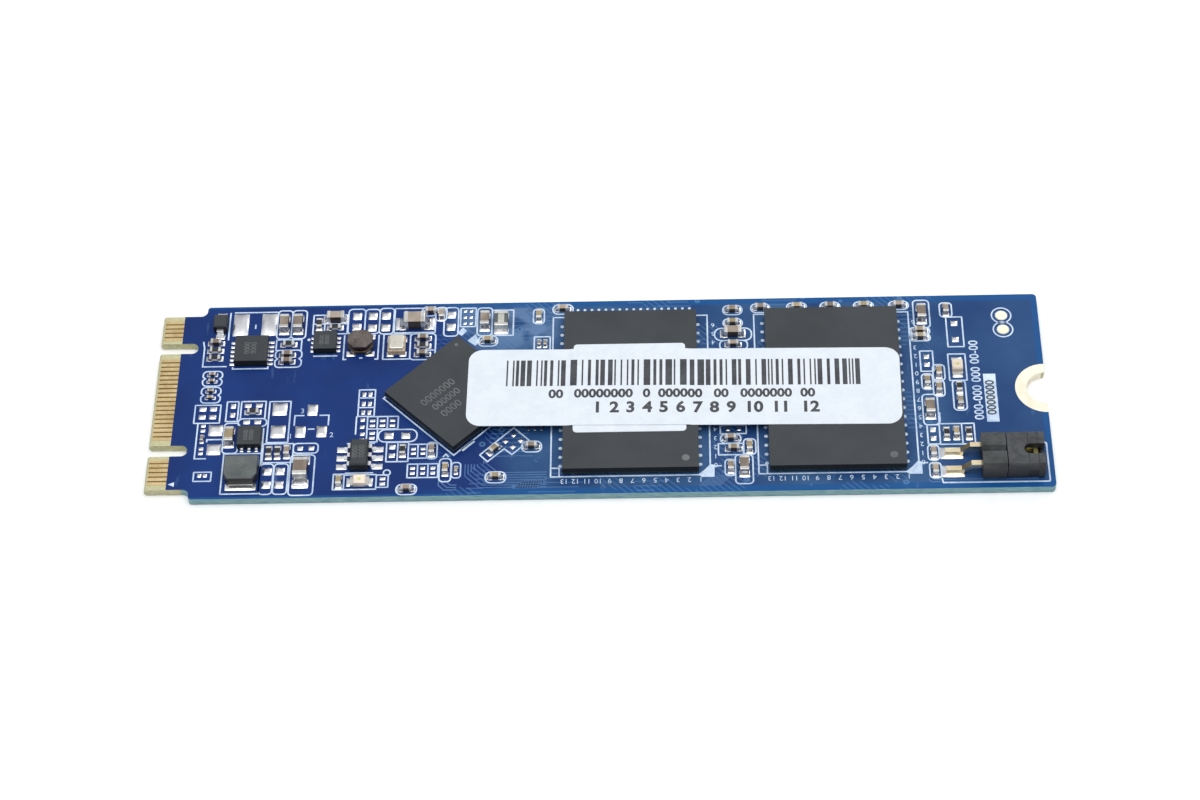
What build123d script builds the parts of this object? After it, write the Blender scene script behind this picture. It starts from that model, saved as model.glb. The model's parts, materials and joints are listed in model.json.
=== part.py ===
from build123d import *
import os

os.makedirs("parts", exist_ok=True)

# Solid state drive on a bare 22 x 80 mm edge-connector card, in millimetres.
# Origin: middle of the card's underside. X runs from the contact fingers to the screw
# notch, Y across the card, Z up through the fitted side.

# ---------------------------------------------------------------- driving dimensions
CARD_LENGTH = 80.0
CARD_WIDTH = 22.0
CARD_THICKNESS = 0.8
FILM = 0.03                     # pads and contact fingers
MASK_FILM = 0.025               # the solder mask lies just below the bare metal
FINGER_END = -CARD_LENGTH / 2
NOTCH_END = CARD_LENGTH / 2

TONGUE_WIDTH = 19.85
TONGUE_DEPTH = 4.0
SHOULDER_INSIDE_RADIUS = 0.6
SHOULDER_OUTSIDE_RADIUS = 0.3
CORNER_RADIUS = 0.4
TONGUE_BEVEL = 0.2

KEY_WIDTH = 1.2
KEY_DEPTH = 3.5
KEY_CENTRES = (6.125, -5.625)   # the two key slots

NOTCH_RADIUS = 1.75
NOTCH_LIP_RADIUS = 0.25
NOTCH_RING_RADIUS = 2.75
NOTCH_PLATING = 0.03
NOTCH_WALL_REACH = 0.3          # the plating stops this far inside the card's end

FINGER_PITCH = 0.5
FINGER_WIDTH = 0.35
FINGER_LENGTH = 1.7
FINGER_INSET = 0.25             # bare laminate in front of the fingers
TOP_FINGERS = ((1, 11), (21, 57), (67, 75))       # odd contacts
BOTTOM_FINGERS = ((2, 10), (20, 58), (68, 74))    # even contacts
MIDDLE_CONTACT = 38             # the contact number that would lie on Y = 0

CARD_TOP = CARD_THICKNESS
LAMINATE_TOP = CARD_TOP - FILM
MASK_TOP = LAMINATE_TOP + MASK_FILM
MASK_EDGE = FINGER_END + FINGER_INSET + FINGER_LENGTH

# Ball-grid packages
PACKAGE_TOP = 1.0               # height of every large package above the card
BALL_GAP = 0.25                 # between the card's pads and a package
BALL_HEIGHT = CARD_TOP + BALL_GAP - MASK_TOP
BALL_END_RADIUS = 0.17
BALL_RADIUS = 0.23
CONTROLLER_CENTRE = (-12.75, -0.03)
CONTROLLER_SIDE = 9.0
CONTROLLER_TURN = 45
CONTROLLER_SUBSTRATE = 0.24
CONTROLLER_DIE = (4.6, 4.2, 0.3)
CONTROLLER_BALL_PITCH = 0.8
CONTROLLER_BALL_ROWS = 10
MEMORY_CENTRES = (2.9, 21.1)
MEMORY_SIZE = (12.0, 18.0)
MEMORY_SUBSTRATE = 0.18
MEMORY_DIE = (9.6, 13.2, 0.09)
MEMORY_DIES = 4
MEMORY_DIE_STEP = 0.35
MEMORY_BALL_BLOCK = (3, 13)     # balls across and along, in each of two blocks
MEMORY_BALL_PITCH = 1.0
MEMORY_BLOCK_OFFSET = 4.0

# Two-terminal chip parts: length, width, height, terminal length
SIZE_0805 = (2.0, 1.25, 1.1, 0.42)
SIZE_0603 = (1.6, 0.8, 0.75, 0.32)
SIZE_0402 = (1.0, 0.5, 0.5, 0.24)
SIZE_0201 = (0.6, 0.3, 0.3, 0.15)
RESISTOR_SIZE = (1.0, 0.5, 0.36, 0.22)
CHIP_SKIN = 0.02                # how far a terminal stands proud of its body
RESISTOR_COAT = 0.05
# Their pads: centre distance from the part's middle, length, width
PAD_0805 = (1.3, 0.95, 1.45)
PAD_0603 = (0.78, 0.75, 0.9)
PAD_0402 = (0.53, 0.5, 0.56)
PAD_0201 = (0.33, 0.34, 0.36)

# Power stage and other packages
REGULATOR_CENTRE = (-31.55, 5.45)
REGULATOR_SIDE = 3.0
REGULATOR_HEIGHT = 0.8
CONVERTER_CENTRES = ((-31.0, -4.5, 90), (-24.88, 6.35, 0))
CONVERTER_SIDE = 2.1
CONVERTER_HEIGHT = 0.75
LEADLESS_PITCH = 0.5
SWITCH_CENTRE = (-21.07, -6.75)
SWITCH_SIZE = (1.6, 2.9, 0.95)
SWITCH_PITCH = 0.95
DIODE_CENTRE = (-34.6, 8.7)
DIODE_SIZE = (1.2, 1.5, 0.85)
LEAD_THICKNESS = 0.13
LEAD_SHOULDER = 0.42
STAND_OFF = 0.06

POWER_INDUCTOR_CENTRE = (-31.45, -8.25)
POWER_INDUCTOR_SIZE = (2.95, 2.6, 1.0)
DRUM_CENTRE = (-21.65, 6.2)
DRUM_SIZE = (2.3, 2.05, 1.0)
DRUM_FLANGE = 0.26
FERRITE_CENTRE = (-8.88, 8.5)
FERRITE_SIZE = (1.25, 1.75, 0.85, 0.32)
CRYSTAL_CENTRE = (-18.35, 5.95)
CRYSTAL_SIZE = (1.6, 1.85, 0.8)
LAMP_SIZE = (1.7, 0.95, 0.55, 0.34)
LAMPS = [(-20.95, -9.42, 0), (32.25, 2.5, 90)]

# Two-pin header and jumper at the right front corner
PIN_CENTRES = (-7.2, -9.2)
PIN_SIDE = 0.5
PIN_HEIGHT = 1.0                # axis of the straight run above the card
PIN_FOOT = (30.5, 31.95)
PIN_RISE_END = 32.75
PIN_TIP = 38.45
PIN_TAPER = 0.3
INSULATOR_X = (33.6, 35.72)
INSULATOR_SIDE = 2.0
INSULATOR_CORNER = 0.33
JUMPER_X = (35.8, 39.05)
JUMPER_CENTRE_Y = -8.22
JUMPER_WIDTH = 3.7
JUMPER_GROUND_GAP = 0.06
JUMPER_TOP = 2.0
CONTACT_SHEET = 0.12
CONTACT_GAP = 0.03              # running fit of a clip on its pin
CONTACT_WIDTH = 0.9

# Labels
LABEL_THICKNESS = 0.06
LONG_LABEL = (38.7, 8.7)
LONG_LABEL_CENTRE = (7.66, -0.02)
LONG_LABEL_RADIUS = 1.3
LONG_LABEL_TURN = -0.7
SQUARE_LABEL = 10.05
SQUARE_LABEL_CENTRE = (2.82, -0.02)
SQUARE_LABEL_RADIUS = 0.35
LABEL_RAMP = 0.35               # the long label climbs the square one over this length

# ---------------------------------------------------------------- where the parts stand
# Places are (x, y, turn). At turn 0 a chip's two terminals lie along X. They are
# grouped by the block of the circuit that they belong to.
CAPACITORS_0805 = [
    (-26.2, -8.22, 90), (-16.8, 8.63, 0),
]
CAPACITORS_0603 = [
    (-28.78, 8.72, 90), (-27.5, 8.72, 90), (-24.1, 9.35, 0),      # input filter
    (-32.85, -4.25, 90),                                          # converter output
    (-10.4, 8.75, 90), (12.2, 6.85, 0), (12.9, -8.35, 90),        # memory supply
    (29.4, 8.75, 90), (29.55, -2.25, 90),
]
CAPACITORS_0402 = [
    (-34.9, 6.65, 0), (-28.3, 5.15, 0), (-28.3, 4.35, 0), (-27.6, -5.95, 90),
    (-15.4, 10.05, 0), (-14.4, 9.65, 90), (-16.0, 6.85, 0), (-16.0, 5.0, 0),
    (-14.72, -6.0, 90), (-22.8, -9.35, 90), (-16.8, -10.28, 0),
    (-13.45, -8.15, 90), (-9.2, -6.05, 45), (-5.9, -5.75, 0), (-9.0, -9.1, 0),
    (-10.1, 6.45, 0), (-5.47, 9.3, 90), (-3.3, 10.05, 0),
    (12.2, 9.62, 0), (14.78, 9.82, 0), (12.2, 8.1, 0), (12.2, 5.55, 0),
    (11.75, -5.2, 0), (12.0, -6.35, 0), (13.4, -6.15, 90), (11.7, -8.35, 90),
    (18.1, 9.85, 0), (21.15, 9.85, 0), (24.2, 9.85, 0), (27.4, 9.85, 0),
    (29.15, 6.8, 0), (29.15, 6.05, 0), (30.57, 1.95, 90), (29.48, 0.9, 90),
    (30.47, 0.1, 90), (29.55, -7.1, 90), (29.6, -9.05, 90),
    (31.65, 9.25, 90), (31.68, -4.98, 90), (32.28, -1.45, 90),
]
CAPACITORS_0201 = [
    (-34.95, 2.95, 0), (-34.95, 2.2, 0), (-34.95, 1.05, 0), (-34.95, 0.3, 0),
    (-35.3, -4.35, 90), (-12.5, -8.25, 90), (-5.4, 6.05, 90), (-4.85, 6.05, 90),
]
RESISTORS = [
    (-34.9, 5.75, 0), (-34.9, 4.85, 0), (-30.95, -1.4, 0), (-28.25, 6.38, 0),
    (-25.6, 8.75, 90), (-24.12, 8.3, 0), (-29.2, -6.0, 90), (-28.42, -6.0, 90),
    (-16.0, 5.98, 0), (-17.3, -6.0, 90),
    (30.82, -5.0, 90), (32.78, -5.0, 90), (32.3, 0.2, 90),
]

# Bare pads of the footprints left empty: (length, width), turn, centres.
EMPTY_FOOTPRINTS = [
    # sense network beside the fingers
    ((0.62, 0.5), 0, [(-35.5, -0.95), (-34.55, -0.95), (-35.5, -1.85), (-34.55, -1.85)]),
    ((0.42, 0.34), 0, [(-35.3, -2.85), (-35.3, -3.4), (-35.3, -5.42), (-35.3, -5.95)]),
    ((1.25, 1.2), 0, [(-34.15, -3.4), (-34.15, -5.55)]),
    ((0.35, 0.4), 0, [(-35.2, -8.42), (-34.7, -8.42)]),
    # bulk capacitors of the input filter
    ((1.4, 2.6), 0, [(-32.8, 8.8), (-30.2, 8.8)]),
    ((1.3, 1.4), 0, [(-28.55, -1.1), (-28.55, -3.65)]),
    ((0.8, 0.8), 0, [(-29.2, -8.08), (-28.05, -8.08), (-29.2, -9.55), (-28.05, -9.55)]),
    # feedback network
    ((0.45, 0.55), 0, [(-32.78, -0.65), (-32.78, -1.65)]),
    ((0.6, 0.45), 0, [(-31.45, -0.6), (-30.45, -0.6), (-31.45, -2.5), (-30.45, -2.5)]),
    ((0.9, 1.25), 0, [(-25.6, -1.25), (-26.55, -3.7), (-24.65, -3.7)]),
    ((0.5, 0.45), 0, [(-26.45, -5.55), (-25.45, -5.55)]),
    # clock and supply options
    ((0.8, 0.85), 0, [(-22.15, 9.65), (-22.15, 8.35), (-20.72, 9.65), (-20.72, 8.25),
                      (-19.5, 9.65), (-19.5, 8.25), (-13.5, 9.65), (-13.5, 8.2)]),
    ((0.34, 0.5), 0, [(x, y) for x in (-21.05, -20.5) for y in (0.45, -0.62, -1.6)]),
    ((0.4, 0.4), 0, [(-21.05, -2.45), (-21.05, -3.25), (-21.0, -4.05), (-21.0, -4.72)]),
    ((0.48, 0.3), 0, [(x, y) for x in (-20.15, -19.25, -18.35) for y in (-2.55, -3.1)]),
    ((0.48, 0.32), 0, [(-20.12, -3.95), (-20.12, -4.5)]),
    ((0.8, 0.72), 0, [(-18.6, -4.28), (-17.1, -4.28)]),
    ((0.55, 0.5), 0, [(-18.25, -5.55), (-18.25, -6.5)]),
    ((0.42, 0.3), 0, [(x, y) for x in (-16.35, -15.5) for y in (-5.8, -6.3)]),
    ((0.42, 0.32), 0, [(x, y) for x in (-16.35, -15.45, -14.55) for y in (-7.95, -8.5)]),
    ((0.5, 0.34), 0, [(-18.95, -9.05), (-18.95, -9.6)]),
    # memory bus options
    ((0.3, 0.3), 0, [(x, y) for x in (-12.25, -11.7) for y in (10.05, 9.3, 8.6)]),
    ((0.42, 0.42), 45, [(-7.5, -4.4), (-8.2, -5.1), (-6.85, -5.05), (-7.55, -5.75)]),
    ((0.3, 0.4), 0, [(-6.15, -3.75), (-5.6, -3.75), (-5.05, -3.75)]),
    ((0.45, 0.42), 0, [(11.55, -4.1), (12.5, -4.1)]),
    ((0.5, 0.5), 0, [(29.58, 3.8), (29.58, 2.9), (29.65, -4.55), (29.65, -5.5)]),
    ((0.62, 0.6), 0, [(32.32, 7.65), (32.32, 5.75)]),
]
TEST_PADS = [(36.65, 8.5), (36.7, 6.85)]
TEST_PAD_RADIUS = 0.57

# Lands under the leads of the larger packages: (length, width), centres.
PACKAGE_LANDS = [
    ((0.5, 0.28), [(REGULATOR_CENTRE[0] + side * 1.72, REGULATOR_CENTRE[1] + step * 0.5)
                   for side in (-1, 1) for step in (-2.5, -1.5, -0.5, 0.5, 1.5, 2.5)]),
    ((0.34, 0.42), [(CONVERTER_CENTRES[0][0] + step * 0.65, CONVERTER_CENTRES[0][1] + side)
                    for side in (-1.15, 1.15) for step in (-1, 0, 1)]),
    ((0.42, 0.28), [(CONVERTER_CENTRES[1][0] + side, CONVERTER_CENTRES[1][1] + step * 0.5)
                    for side in (-1.15, 1.15) for step in (-1.5, -0.5, 0.5, 1.5)]),
    ((0.95, 0.6), [(SWITCH_CENTRE[0] + side * 1.58, SWITCH_CENTRE[1] + step * SWITCH_PITCH)
                   for side in (-1, 1) for step in (-1, 0, 1)]),
    ((0.85, 0.8), [(DIODE_CENTRE[0], DIODE_CENTRE[1] + side * 1.15) for side in (-1, 1)]),
    ((2.75, 0.75), [(POWER_INDUCTOR_CENTRE[0], POWER_INDUCTOR_CENTRE[1] + side * 1.5)
                    for side in (-1, 1)]),
    ((0.85, 0.6), [(DRUM_CENTRE[0] + side * 0.85, DRUM_CENTRE[1] + end * 1.0)
                   for side in (-1, 1) for end in (-1, 1)]),
    ((1.3, 0.75), [(FERRITE_CENTRE[0], FERRITE_CENTRE[1] + side * 0.88) for side in (-1, 1)]),
    ((0.65, 0.6), [(CRYSTAL_CENTRE[0] + side * 0.57, CRYSTAL_CENTRE[1] + end * 0.85)
                   for side in (-1, 1) for end in (-1, 1)]),
    ((2.0, 1.25), [(31.1, y) for y in PIN_CENTRES]),
]


# ---------------------------------------------------------------- helpers
def keep(piece, name):
    """Name a finished sub-part and write it as its own STEP file."""
    piece.part.label = name
    export_step(piece.part, f"parts/{name}.step")


def stood(places, height=CARD_TOP):
    """Locations on the card for a list of (x, y, turn)."""
    return [Location((x, y, height), (0, 0, turn)) for x, y, turn in places]


def card_outline():
    """The card seen from above: body, narrower tongue, key slots and screw notch."""
    body_length = CARD_LENGTH - TONGUE_DEPTH
    with BuildSketch() as outline:
        with Locations((TONGUE_DEPTH / 2, 0)):
            Rectangle(body_length, CARD_WIDTH)
        with Locations((FINGER_END + TONGUE_DEPTH / 2, 0)):
            Rectangle(TONGUE_DEPTH, TONGUE_WIDTH)
        shoulder_x = FINGER_END + TONGUE_DEPTH
        corners = outline.vertices()
        inside = corners.filter_by(lambda v: abs(v.X - shoulder_x) < 0.01
                                   and abs(v.Y) < CARD_WIDTH / 2 - 0.1)
        fillet(inside, SHOULDER_INSIDE_RADIUS)
        outside = outline.vertices().filter_by(lambda v: abs(v.X - shoulder_x) < 0.01
                                               and abs(v.Y) > CARD_WIDTH / 2 - 0.1)
        fillet(outside, SHOULDER_OUTSIDE_RADIUS)
        fillet(outline.vertices().filter_by(lambda v: v.X > NOTCH_END - 0.01), CORNER_RADIUS)
        for y in KEY_CENTRES:
            slot_end = FINGER_END + KEY_DEPTH - KEY_WIDTH / 2
            with Locations(((FINGER_END + slot_end) / 2, y)):
                Rectangle(slot_end - FINGER_END, KEY_WIDTH, mode=Mode.SUBTRACT)
            with Locations((slot_end, y)):
                Circle(KEY_WIDTH / 2, mode=Mode.SUBTRACT)
        with Locations((NOTCH_END, 0)):
            Circle(NOTCH_RADIUS, mode=Mode.SUBTRACT)
        lips = outline.vertices().filter_by(lambda v: v.X > NOTCH_END - 0.01
                                            and abs(v.Y) < NOTCH_RADIUS + 0.1)
        fillet(lips, NOTCH_LIP_RADIUS)
    return outline.sketch


def notch_ring():
    """Half ring of bare metal round the screw notch, seen from above."""
    with BuildSketch() as ring:
        add(OUTLINE)
        with Locations((NOTCH_END, 0)):
            Circle(NOTCH_RING_RADIUS, mode=Mode.INTERSECT)
    return ring.sketch


def notch_wall():
    """Thin half ring of plating on the wall of the notch."""
    with BuildSketch() as wall:
        with Locations((NOTCH_END, 0)):
            Circle(NOTCH_RADIUS + NOTCH_PLATING)
            Circle(NOTCH_RADIUS, mode=Mode.SUBTRACT)
        with Locations((NOTCH_END - NOTCH_WALL_REACH - NOTCH_RADIUS, 0)):
            Rectangle(2 * NOTCH_RADIUS, 4 * NOTCH_RADIUS, mode=Mode.INTERSECT)
    return wall.sketch


def finger_places(runs):
    """Centres of the contact fingers, from the first and last number of each run."""
    x = FINGER_END + FINGER_INSET + FINGER_LENGTH / 2
    numbers = [n for first, last in runs for n in range(first, last + 1, 2)]
    return [(x, (n - MIDDLE_CONTACT) * FINGER_PITCH / 2) for n in numbers]


def chip_body(size):
    """Block between the terminals of a two-terminal chip, standing on Z = 0."""
    length, width, height, terminal = size
    with BuildPart() as body:
        with Locations((0, 0, height / 2)):
            Box(length - 2 * terminal, width - 2 * CHIP_SKIN, height - 2 * CHIP_SKIN)
    return body.part


def chip_terminals(size):
    """The two end caps of a chip part, with their outer edges rounded."""
    length, width, height, terminal = size
    rounding = 0.12 * min(width, height)
    with BuildPart() as caps:
        for side in (-1, 1):
            with Locations((side * (length - terminal) / 2, 0, height / 2)):
                Box(terminal, width, height)
        ends = caps.faces().filter_by(lambda f: abs(abs(f.center().X) - length / 2) < 0.01)
        fillet(ends.edges(), rounding)
    return caps.part


def chip_pads(places, pad):
    """Centres of the pads under two-terminal parts, as locations in the card's plane."""
    reach = pad[0]
    return [Location((x, y, 0), (0, 0, turn)) * Location((side * reach, 0, 0))
            for x, y, turn in places for side in (-1, 1)]


def moulded_body(size, bevel):
    """Plastic package body with bevelled top edges, standing on Z = 0."""
    length, width, height = size
    with BuildPart() as body:
        Box(length, width, height, align=(Align.CENTER, Align.CENTER, Align.MIN))
        chamfer(body.faces().sort_by(Axis.Z)[-1].edges(), bevel)
    return body.part


def leadless_leads(side, pitch, count, lead=(0.3, 0.24, 0.18)):
    """Flat lead ends flush with two opposite sides of a leadless package."""
    reach = side / 2 - lead[0] / 2
    with BuildPart() as leads:
        for end in (-1, 1):
            with Locations((end * reach, 0, 0)):
                with GridLocations(1, pitch, 1, count):
                    Box(lead[0], lead[1], lead[2],
                        align=(Align.CENTER, Align.CENTER, Align.MIN))
    return leads.part


def gull_leads(body_half, reach, width, pitch, count):
    """Bent leads that leave a body at shoulder height and stand flat on the card."""
    knee = body_half + 0.16
    shoulder = LEAD_SHOULDER
    profile = [(reach, 0), (reach, LEAD_THICKNESS), (knee + LEAD_THICKNESS, LEAD_THICKNESS),
               (knee + LEAD_THICKNESS, shoulder + LEAD_THICKNESS),
               (body_half, shoulder + LEAD_THICKNESS), (body_half, shoulder),
               (knee, shoulder), (knee, 0)]
    with BuildPart() as lead:
        with BuildSketch(Plane.XZ):
            with BuildLine():
                Polyline(*profile, close=True)
            make_face()
        extrude(amount=width / 2, both=True)
        fillet(lead.edges().filter_by(Axis.Y).filter_by_position(Axis.X, knee + 0.01, knee + 0.2),
               0.05)
    with BuildPart() as row:
        for turn in (0, 180):
            with Locations(Location((0, 0, 0), (0, 0, turn))):
                with GridLocations(1, pitch, 1, count):
                    add(lead.part)
    return row.part


def solder_ball():
    """Solder ball pressed between a package and its land, standing on Z = 0."""
    with BuildPart() as ball:
        with BuildSketch(Plane.XZ):
            with BuildLine():
                Line((0, 0), (BALL_END_RADIUS, 0))
                ThreePointArc((BALL_END_RADIUS, 0), (BALL_RADIUS, BALL_HEIGHT / 2),
                              (BALL_END_RADIUS, BALL_HEIGHT))
                Line((BALL_END_RADIUS, BALL_HEIGHT), (0, BALL_HEIGHT))
                Line((0, BALL_HEIGHT), (0, 0))
            make_face()
        revolve(axis=Axis.Z)
    return ball.part


def film(sketch, bottom, thickness=FILM):
    """A film of mask or metal raised from a flat outline."""
    with BuildPart() as layer:
        with BuildSketch(Plane.XY.offset(bottom)):
            add(sketch)
        extrude(amount=thickness)
    return layer


# ---------------------------------------------------------------- board
OUTLINE = card_outline()
RING = notch_ring()
WALL = notch_wall()

with BuildPart() as board_laminate:
    with BuildSketch(Plane.XY.offset(FILM)):
        add(OUTLINE)
        add(WALL, mode=Mode.SUBTRACT)
    extrude(amount=CARD_THICKNESS - 2 * FILM)
    tongue_edges = board_laminate.edges().filter_by(Axis.Y).filter_by_position(
        Axis.X, FINGER_END - 0.01, FINGER_END + 0.01)
    chamfer(tongue_edges, TONGUE_BEVEL)
keep(board_laminate, "board_laminate")

CHIP_PADS = (
    (PAD_0805, CAPACITORS_0805), (PAD_0603, CAPACITORS_0603), (PAD_0402, CAPACITORS_0402),
    (PAD_0402, RESISTORS), (PAD_0201, CAPACITORS_0201), (PAD_0603, LAMPS),
)

with BuildSketch() as fitted_pads:
    for pad, places in CHIP_PADS:
        with Locations(*chip_pads(places, pad)):
            Rectangle(pad[1], pad[2])
    for (length, width), centres in PACKAGE_LANDS:
        with Locations(*centres):
            Rectangle(length, width)

with BuildSketch() as bare_pads:
    for (length, width), turn, centres in EMPTY_FOOTPRINTS:
        with Locations(*centres):
            Rectangle(length, width, rotation=turn)
    with Locations(*TEST_PADS):
        Circle(TEST_PAD_RADIUS)

with BuildSketch() as mask_outline:
    add(OUTLINE)
    with Locations((MASK_EDGE - CARD_LENGTH / 2, 0)):
        Rectangle(CARD_LENGTH, 2 * CARD_WIDTH, mode=Mode.SUBTRACT)
    add(RING, mode=Mode.SUBTRACT)

with BuildSketch() as top_mask_outline:
    add(mask_outline.sketch)
    add(fitted_pads.sketch, mode=Mode.SUBTRACT)
    add(bare_pads.sketch, mode=Mode.SUBTRACT)

keep(film(top_mask_outline.sketch, LAMINATE_TOP, MASK_FILM), "solder_mask_top")
keep(film(mask_outline.sketch, FILM - MASK_FILM, MASK_FILM), "solder_mask_bottom")
keep(film(fitted_pads.sketch, LAMINATE_TOP), "component_pads")
keep(film(bare_pads.sketch, LAMINATE_TOP), "empty_pads")

for name, runs, bottom in (("edge_fingers_top", TOP_FINGERS, LAMINATE_TOP),
                           ("edge_fingers_bottom", BOTTOM_FINGERS, 0)):
    with BuildSketch() as fingers:
        with Locations(*finger_places(runs)):
            Rectangle(FINGER_LENGTH, FINGER_WIDTH)
    keep(film(fingers.sketch, bottom), name)

with BuildPart() as screw_notch_ring:
    for bottom in (0, LAMINATE_TOP):
        with BuildSketch(Plane.XY.offset(bottom)):
            add(RING)
        extrude(amount=FILM)
    with BuildSketch():
        add(WALL)
    extrude(amount=CARD_THICKNESS)
keep(screw_notch_ring, "screw_notch_ring")

# ---------------------------------------------------------------- controller
ball = solder_ball()
controller_ground = Location((*CONTROLLER_CENTRE, MASK_TOP), (0, 0, CONTROLLER_TURN))
controller_plane = Plane(Location((*CONTROLLER_CENTRE, CARD_TOP), (0, 0, CONTROLLER_TURN)))
substrate_bottom = BALL_GAP
mould_bottom = substrate_bottom + CONTROLLER_SUBSTRATE

with BuildPart() as controller_solder_balls:
    with Locations(controller_ground):
        with GridLocations(CONTROLLER_BALL_PITCH, CONTROLLER_BALL_PITCH,
                           CONTROLLER_BALL_ROWS, CONTROLLER_BALL_ROWS):
            add(ball)
keep(controller_solder_balls, "controller_solder_balls")

with BuildPart() as controller_substrate:
    with BuildSketch(controller_plane.offset(substrate_bottom)):
        Rectangle(CONTROLLER_SIDE, CONTROLLER_SIDE)
    extrude(amount=CONTROLLER_SUBSTRATE)
keep(controller_substrate, "controller_substrate")

with BuildPart() as controller_die:
    with BuildSketch(controller_plane.offset(mould_bottom)):
        Rectangle(CONTROLLER_DIE[0], CONTROLLER_DIE[1])
    extrude(amount=CONTROLLER_DIE[2])
keep(controller_die, "controller_die")

with BuildPart() as controller_mould_cap:
    with BuildSketch(controller_plane.offset(mould_bottom)):
        Rectangle(CONTROLLER_SIDE, CONTROLLER_SIDE)
    extrude(amount=PACKAGE_TOP - mould_bottom)
    add(controller_die.part, mode=Mode.SUBTRACT)
keep(controller_mould_cap, "controller_mould_cap")

# ---------------------------------------------------------------- two memory packages
memory_mould_bottom = BALL_GAP + MEMORY_SUBSTRATE

for number, centre_x in enumerate(MEMORY_CENTRES, start=1):
    memory_plane = Plane(origin=(centre_x, 0, CARD_TOP))

    with BuildPart() as memory_balls:
        for side in (-1, 1):
            with Locations((centre_x + side * MEMORY_BLOCK_OFFSET, 0, MASK_TOP)):
                with GridLocations(MEMORY_BALL_PITCH, MEMORY_BALL_PITCH, *MEMORY_BALL_BLOCK):
                    add(ball)
    keep(memory_balls, f"memory_{number}_solder_balls")

    with BuildPart() as memory_substrate:
        with BuildSketch(memory_plane.offset(BALL_GAP)):
            Rectangle(*MEMORY_SIZE)
        extrude(amount=MEMORY_SUBSTRATE)
    keep(memory_substrate, f"memory_{number}_substrate")

    with BuildPart() as memory_dies:
        for level in range(MEMORY_DIES):
            shift = (level - (MEMORY_DIES - 1) / 2) * MEMORY_DIE_STEP
            with BuildSketch(memory_plane.offset(memory_mould_bottom + level * MEMORY_DIE[2])):
                with Locations((0, shift)):
                    Rectangle(MEMORY_DIE[0], MEMORY_DIE[1])
            extrude(amount=MEMORY_DIE[2])
    keep(memory_dies, f"memory_{number}_dies")

    with BuildPart() as memory_mould_cap:
        with BuildSketch(memory_plane.offset(memory_mould_bottom)):
            Rectangle(*MEMORY_SIZE)
        extrude(amount=PACKAGE_TOP - memory_mould_bottom)
        add(memory_dies.part, mode=Mode.SUBTRACT)
    keep(memory_mould_cap, f"memory_{number}_mould_cap")

# ---------------------------------------------------------------- chip capacitors
for code, size, places in (("0805", SIZE_0805, CAPACITORS_0805),
                           ("0603", SIZE_0603, CAPACITORS_0603),
                           ("0402", SIZE_0402, CAPACITORS_0402),
                           ("0201", SIZE_0201, CAPACITORS_0201)):
    body = chip_body(size)
    caps = chip_terminals(size)
    with BuildPart() as capacitor_bodies:
        with Locations(*stood(places)):
            add(body)
    keep(capacitor_bodies, f"capacitor_bodies_{code}")
    with BuildPart() as capacitor_terminals:
        with Locations(*stood(places)):
            add(caps)
    keep(capacitor_terminals, f"capacitor_terminals_{code}")

# ---------------------------------------------------------------- resistors
resistor_caps = chip_terminals(RESISTOR_SIZE)
coat_bottom = RESISTOR_SIZE[2] - CHIP_SKIN - RESISTOR_COAT
bare_length = RESISTOR_SIZE[0] - 2 * RESISTOR_SIZE[3]

with BuildPart() as resistor_coats:
    with Locations(*stood(RESISTORS, CARD_TOP + coat_bottom + RESISTOR_COAT / 2)):
        Box(bare_length, RESISTOR_SIZE[1] - 2 * CHIP_SKIN, RESISTOR_COAT)
keep(resistor_coats, "resistor_coats")

with BuildPart() as resistor_bodies:
    with Locations(*stood(RESISTORS, CARD_TOP + (CHIP_SKIN + coat_bottom) / 2)):
        Box(bare_length, RESISTOR_SIZE[1] - 2 * CHIP_SKIN, coat_bottom - CHIP_SKIN)
keep(resistor_bodies, "resistor_bodies")

with BuildPart() as resistor_terminals:
    with Locations(*stood(RESISTORS)):
        add(resistor_caps)
keep(resistor_terminals, "resistor_terminals")

# ---------------------------------------------------------------- leadless packages
regulator_lead_set = leadless_leads(REGULATOR_SIDE, LEADLESS_PITCH, 6)
regulator_block = moulded_body((REGULATOR_SIDE, REGULATOR_SIDE, REGULATOR_HEIGHT), 0.03)

with BuildPart() as regulator_leads:
    with Locations((*REGULATOR_CENTRE, CARD_TOP)):
        add(regulator_lead_set)
keep(regulator_leads, "regulator_leads")

with BuildPart() as regulator_body:
    with Locations((*REGULATOR_CENTRE, CARD_TOP)):
        add(regulator_block)
        add(regulator_lead_set, mode=Mode.SUBTRACT)
keep(regulator_body, "regulator_body")

converter_block = moulded_body((CONVERTER_SIDE, CONVERTER_SIDE, CONVERTER_HEIGHT), 0.03)
converter_lead_sets = [leadless_leads(CONVERTER_SIDE, 0.65, 3),
                       leadless_leads(CONVERTER_SIDE, LEADLESS_PITCH, 4)]

with BuildPart() as converter_leads:
    for place, leads in zip(stood(CONVERTER_CENTRES), converter_lead_sets):
        with Locations(place):
            add(leads)
keep(converter_leads, "converter_leads")

with BuildPart() as converter_bodies:
    for place, leads in zip(stood(CONVERTER_CENTRES), converter_lead_sets):
        with Locations(place):
            add(converter_block)
            add(leads, mode=Mode.SUBTRACT)
keep(converter_bodies, "converter_bodies")

# ---------------------------------------------------------------- packages with bent leads
switch_lead_set = gull_leads(SWITCH_SIZE[0] / 2, 1.42, 0.42, SWITCH_PITCH, 3)
switch_block = moulded_body(SWITCH_SIZE, 0.12)
with BuildPart() as load_switch_body:
    with Locations((*SWITCH_CENTRE, CARD_TOP + STAND_OFF)):
        add(switch_block)
keep(load_switch_body, "load_switch_body")

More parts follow.
